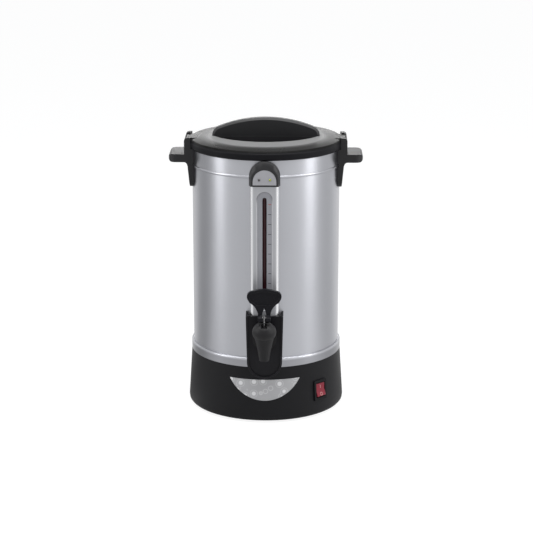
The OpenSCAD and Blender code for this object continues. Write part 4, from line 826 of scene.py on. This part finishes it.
def satin(name, dark, light, *, metallic, grain, smooth, dull):
    """Satin sheet: a fine grain in its colour and its surface, and a broad drift in its gloss."""
    material, tree, shader = new_material(name, Metallic=metallic)
    tone = place_group(tree, mould_grain, Scale=grain)
    link(blend(tree, tone.outputs["Height"], dark, light), shader.inputs["Base Color"])
    link(spread(tree, tone.outputs["Tone"], smooth, dull), shader.inputs["Roughness"])
    bump(tree, shader, tone.outputs["Height"], sheet_depth)
    return material, tree, shader


face_silver = satin("face_silver", (0.27, 0.27, 0.288), (0.34, 0.34, 0.360),
                    metallic=0.4, grain=2200.0, smooth=0.34, dull=0.44)[0]
silver_print, tree, shader = satin("silver_print", (0.30, 0.30, 0.31), (0.39, 0.39, 0.40),
                                   metallic=0.35, grain=1800.0, smooth=0.36, dull=0.46)
cells = add(tree, "ShaderNodeTexVoronoi", Scale=74.0, Randomness=0.85)
link(object_point(tree), cells.inputs["Vector"])
from_point = cells.outputs["Distance"]
dot = ramp(tree, from_point, dot_core, dot_rim, 1.0, 0.0)
off_circle = math_node(tree, "ABSOLUTE", math_node(tree, "SUBTRACT", from_point, circle_at))
circle = ramp(tree, off_circle, circle_core, circle_rim, circle_strength, 0.0)
paint_over(tree, shader, math_node(tree, "MAXIMUM", dot, circle), print_tone)
print("silver sheets", face_silver.name, silver_print.name)

# %% [markdown]
# ### Circuit board
# Behind the lamps sits a small board with green lacquer over copper tracks. It hardly shows, so tracks of
# real geometry would be wasted. A brick texture's joints pass for the tracks, under a thin clear coat.

# %% Circuit board
lacquer, copper_track = (0.01, 0.10, 0.035), (0.05, 0.24, 0.10)
board_smooth, board_dull = 0.35, 0.5
board_green, tree, shader = new_material("board_green", Coat_Weight=0.3)
tracks = add(tree, "ShaderNodeTexBrick", Scale=160.0, Mortar_Size=0.02)
link(object_point(tree), tracks.inputs["Vector"])
link(blend(tree, tracks.outputs["Fac"], lacquer, copper_track), shader.inputs["Base Color"])
tone = place_group(tree, mould_grain, Scale=800.0)
link(spread(tree, tone.outputs["Tone"], board_smooth, board_dull), shader.inputs["Roughness"])
print("board", board_green.name)

# %% [markdown]
# ### Sight tube
# The tube behind the slot looks dark red. Clear glass around a red column could be built, but little light
# gets through so narrow a slot to show the difference. One red substance that lets a third of the light
# through is enough.

# %% Sight tube
tube_dark, tube_light = (0.024, 0.004, 0.007), (0.052, 0.008, 0.012)
tube_smooth, tube_dull = 0.25, 0.35
tube_red, tree, shader = new_material("tube_red", Transmission_Weight=0.35, IOR=1.46, Specular_IOR_Level=0.15)
tone = place_group(tree, mould_grain, Scale=300.0)
link(blend(tree, tone.outputs["Tone"], tube_dark, tube_light), shader.inputs["Base Color"])
link(spread(tree, tone.outputs["Tone"], tube_smooth, tube_dull), shader.inputs["Roughness"])
print("materials", len(bpy.data.materials))

# %% [markdown]
# ## Dressing the solids
# On a bench the urn comes apart into pieces of one substance each, so each solid gets one finish. They
# could be set one line at a time. A table of finishes with the solids under each reads like a list of
# materials, and the printed count shows at once if a solid was left bare.

# %% Finishes of the solids
finish = {
    shell_steel: ["outer_shell"],
    spine_steel: ["gauge_spine"],
    tank_steel: ["tank", "lid_liner"],
    black_moulding: ["handle_left", "handle_right"],
    grip_moulding: ["lid_grip"],
    hood_moulding: ["indicator_hood"],
    rim_moulding: ["rim_collar"],
    lid_painted_reflection_steps[0]: ["lid_shell"],
    base_moulding: ["base_skirt", "base_plate"],
    shield_moulding: ["tap_shield"],
    tap_moulding: ["tap_body", "tap_bonnet", "gauge_tee"],
    lever_moulding: ["tap_lever"],
    switch_black: ["switch_housing", "inlet_socket"],
    rocker_red: ["switch_rocker"],
    silver_print: ["trim_panel"],
    face_silver: ["indicator_face"],
    lamp_dark: ["boil_lamp"],
    lamp_green: ["warm_lamp"],
    board_green: ["indicator_board"],
    tube_red: ["gauge_tube"],
    tube_cap: ["gauge_cap"],
    silicone: ["lid_seal", "tap_seals", "seat_cup"],
    foot_rubber: ["feet"],
    cast_aluminium: ["heater_plate"],
    element_steel: ["heating_element"],
    sensor_body: ["thermostat", "thermal_cutout"],
    contact_brass: ["switch_tabs", "inlet_pins"],
    nut_plastic: ["tap_nut"],
    lead_cover: ["wiring"],
    fastener_steel: ["base_screws", "handle_screws", "grip_screws", "liner_screws", "tie_bolt", "tie_nut",
                     "lever_pin", "valve_stem", "tap_spring"],
}
for material, names in finish.items():
    for name in names:
        mesh = nodes[name].data
        mesh.materials.clear()
        mesh.materials.append(material)
dressed = {name for names in finish.values() for name in names}
print("finished solids", len(dressed), "left", sorted(set(nodes) - dressed))

# %% [markdown]
# ### Painted reflection across the lid
# The lid is one black moulding. Its flat top is lightened into a painted reflection, a grey tone with a
# strong sheen that stand in for the bright backdrop it mirrors. Over the rounded border, which grows smoother
# towards the collar, the painted reflection fades step by step, and the two finger wells keep the plain black
# of the grip above them. One material could blend all three, but a sheen has to be one constant for a whole
# material.
# So a modifier picks faces by their place: each ring of the border takes the next step of the row, and what
# lies below the flat top, inside the border, takes the grip's.

# %% Mesh group helpers


def mesh_group(name):
    """Geometry group with one mesh in and one out, and its two end sockets."""
    group = bpy.data.node_groups.new(name, "GeometryNodeTree")
    for way in ("INPUT", "OUTPUT"):
        group.interface.new_socket("Mesh", in_out=way, socket_type="NodeSocketGeometry")
    return group, group.nodes.new("NodeGroupInput").outputs[0], group.nodes.new("NodeGroupOutput").inputs[0]


def compare(tree, operation, value, limit):
    """True where a value is above, or below, a limit."""
    node = add(tree, "FunctionNodeCompare", data_type="FLOAT", operation=operation)
    link(value, node.inputs[0])
    node.inputs[1].default_value = limit
    return node.outputs[0]


def set_finish(tree, shape, picked, material):
    """The shape with a material on its picked faces."""
    node = add(tree, "GeometryNodeSetMaterial")
    node.inputs["Material"].default_value = material
    link(shape, node.inputs["Geometry"])
    link(picked, node.inputs["Selection"])
    return node.outputs["Geometry"]


print("helpers: mesh_group, compare, set_finish")

# %% Painted reflection across the lid
border_from, border_step, well_drop = 0.0865, 0.00325, 0.0006
lid_top = max(corner[2] for corner in nodes["lid_shell"].bound_box)
lid_border, shape, result = mesh_group("lid_border")
point = add(lid_border, "GeometryNodeInputPosition").outputs[0]
flat = vector_node(lid_border, "MULTIPLY", point, level_part).outputs[0]
radius = vector_node(lid_border, "LENGTH", flat).outputs["Value"]
for step, material in enumerate(lid_painted_reflection_steps[1:]):
    beyond = compare(lid_border, "GREATER_THAN", radius, border_from + step * border_step)
    shape = set_finish(lid_border, shape, beyond, material)
in_well = add(lid_border, "FunctionNodeBooleanMath", operation="AND")
height = split(lid_border, point)[2]
link(compare(lid_border, "LESS_THAN", height, lid_top - well_drop), in_well.inputs[0])
link(compare(lid_border, "LESS_THAN", radius, border_from), in_well.inputs[1])
link(set_finish(lid_border, shape, in_well.outputs[0], grip_moulding), result)
nodes["lid_shell"].modifiers.new("border_finishes", "NODES").node_group = lid_border
print("lid top", round(lid_top, 4), "border from", border_from)

# %% [markdown]
# ### Smooth shading
# Curved walls are smooth on the real urn, and corners are crisp. Shading every face smooth would smear the
# corners. This group shades all faces smooth and keeps each edge sharp that turns by more than a limit, and
# as a modifier it leaves the solid's own mesh alone.

# %% Smooth shading by angle
sharp_angle = math.radians(32)
by_angle, shape, result = mesh_group("smooth_by_angle")
all_smooth = add(by_angle, "GeometryNodeSetShadeSmooth", domain="FACE")
keep_sharp = add(by_angle, "GeometryNodeSetShadeSmooth", domain="EDGE")
keep_sharp.inputs["Shade Smooth"].default_value = False
turn = add(by_angle, "GeometryNodeInputMeshEdgeAngle").outputs["Unsigned Angle"]
link(shape, all_smooth.inputs["Geometry"])
link(all_smooth.outputs[0], keep_sharp.inputs["Geometry"])
link(compare(by_angle, "GREATER_THAN", turn, sharp_angle), keep_sharp.inputs["Selection"])
link(keep_sharp.outputs[0], result)
print("sharp beyond", round(math.degrees(sharp_angle)), "degrees")

# %% [markdown]
# ### Softened edges
# A mould leaves small radii on every corner, and they catch the light. They could be cut into the meshes by
# hand. A short stack of modifiers welds the faces, joins flat triangles, rounds the sharp edges and evens
# the shading, the same way on every solid, with a radius of its own for each larger moulding.

# %% Softened edges
weld_gap, round_steps, even_weight = 2e-6, 2, 100
flat_angle, round_angle = math.radians(0.4), math.radians(34)
edges = {
    "rim_collar": 0.0006, "lid_shell": 0.0008, "lid_grip": 0.0010, "handle_left": 0.0010,
    "handle_right": 0.0010, "indicator_hood": 0.0006, "base_skirt": 0.0006, "tap_shield": 0.0007,
    "tap_body": 0.0005, "tap_bonnet": 0.0005, "tap_lever": 0.0008, "gauge_spine": 0.0003,
    "switch_housing": 0.0004, "switch_rocker": 0.0004, "inlet_socket": 0.0004,
}


def soften(solid, width):
    """Weld, flatten, round the edges by width metres, and shade smooth."""
    weld = solid.modifiers.new("weld", "WELD")
    weld.merge_threshold = weld_gap
    flatten = solid.modifiers.new("flatten", "DECIMATE")
    flatten.decimate_type = "DISSOLVE"
    flatten.delimit = {"MATERIAL"}
    flatten.angle_limit = flat_angle
    if width:
        edge = solid.modifiers.new("round_edges", "BEVEL")
        edge.width = width
        edge.segments = round_steps
        edge.limit_method = "ANGLE"
        edge.angle_limit = round_angle
        edge.use_clamp_overlap = True
    solid.modifiers.new("smooth", "NODES").node_group = by_angle
    even = solid.modifiers.new("even_normals", "WEIGHTED_NORMAL")
    even.keep_sharp = True
    even.weight = even_weight


for name, solid in nodes.items():
    soften(solid, edges.get(name, 0.0))
print("softened", len(nodes), "rounded", len(edges))

# %% [markdown]
# ## Closing spring
# A coil of wire inside the tap presses the rubber cup onto its seat, and gets shorter when the lever lifts
# the stem. The rigid solid can't do that and would cut into the cup. So the coil is made again as a round
# wire along a helix, in the solid's own box, and hung on the boiler's body in place of the hidden solid.

# %% Closing spring
wire_radius, wire_rounding, spring_turns, steps_a_turn = 0.00045, 3, 6, 24
low, high = (Vector(corner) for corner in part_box("tap_spring"))
middle = (low + high) / 2
coil_radius = (high.x - low.x) / 2 - wire_radius
rise = (high.z - low.z - 2 * wire_radius) / (spring_turns * steps_a_turn)
wire = bpy.data.curves.new("spring_wire", "CURVE")
wire.dimensions = "3D"
wire.bevel_depth = wire_radius
wire.bevel_resolution = wire_rounding
wire.use_fill_caps = True
helix = wire.splines.new("POLY")
helix.points.add(spring_turns * steps_a_turn)
for step, point in enumerate(helix.points):
    turn = 2 * math.pi * step / steps_a_turn
    point.co = (middle.x + coil_radius * math.cos(turn), middle.y + coil_radius * math.sin(turn),
                low.z + wire_radius + step * rise, 1.0)
drawn = bpy.data.objects.new("spring_path", wire)
scene.collection.objects.link(drawn)
bpy.context.view_layer.update()
spring = bpy.data.objects.new("closing_spring", bpy.data.meshes.new_from_object(drawn))
bpy.data.objects.remove(drawn)
scene.collection.objects.link(spring)
spring.data.materials.clear()
spring.data.materials.append(fastener_steel)
spring.data.shade_smooth()
print("spring length", round(high.z - low.z, 4), "turns", spring_turns)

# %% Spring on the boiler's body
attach(spring, "boiler")
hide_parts("tap_spring")
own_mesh(spring)
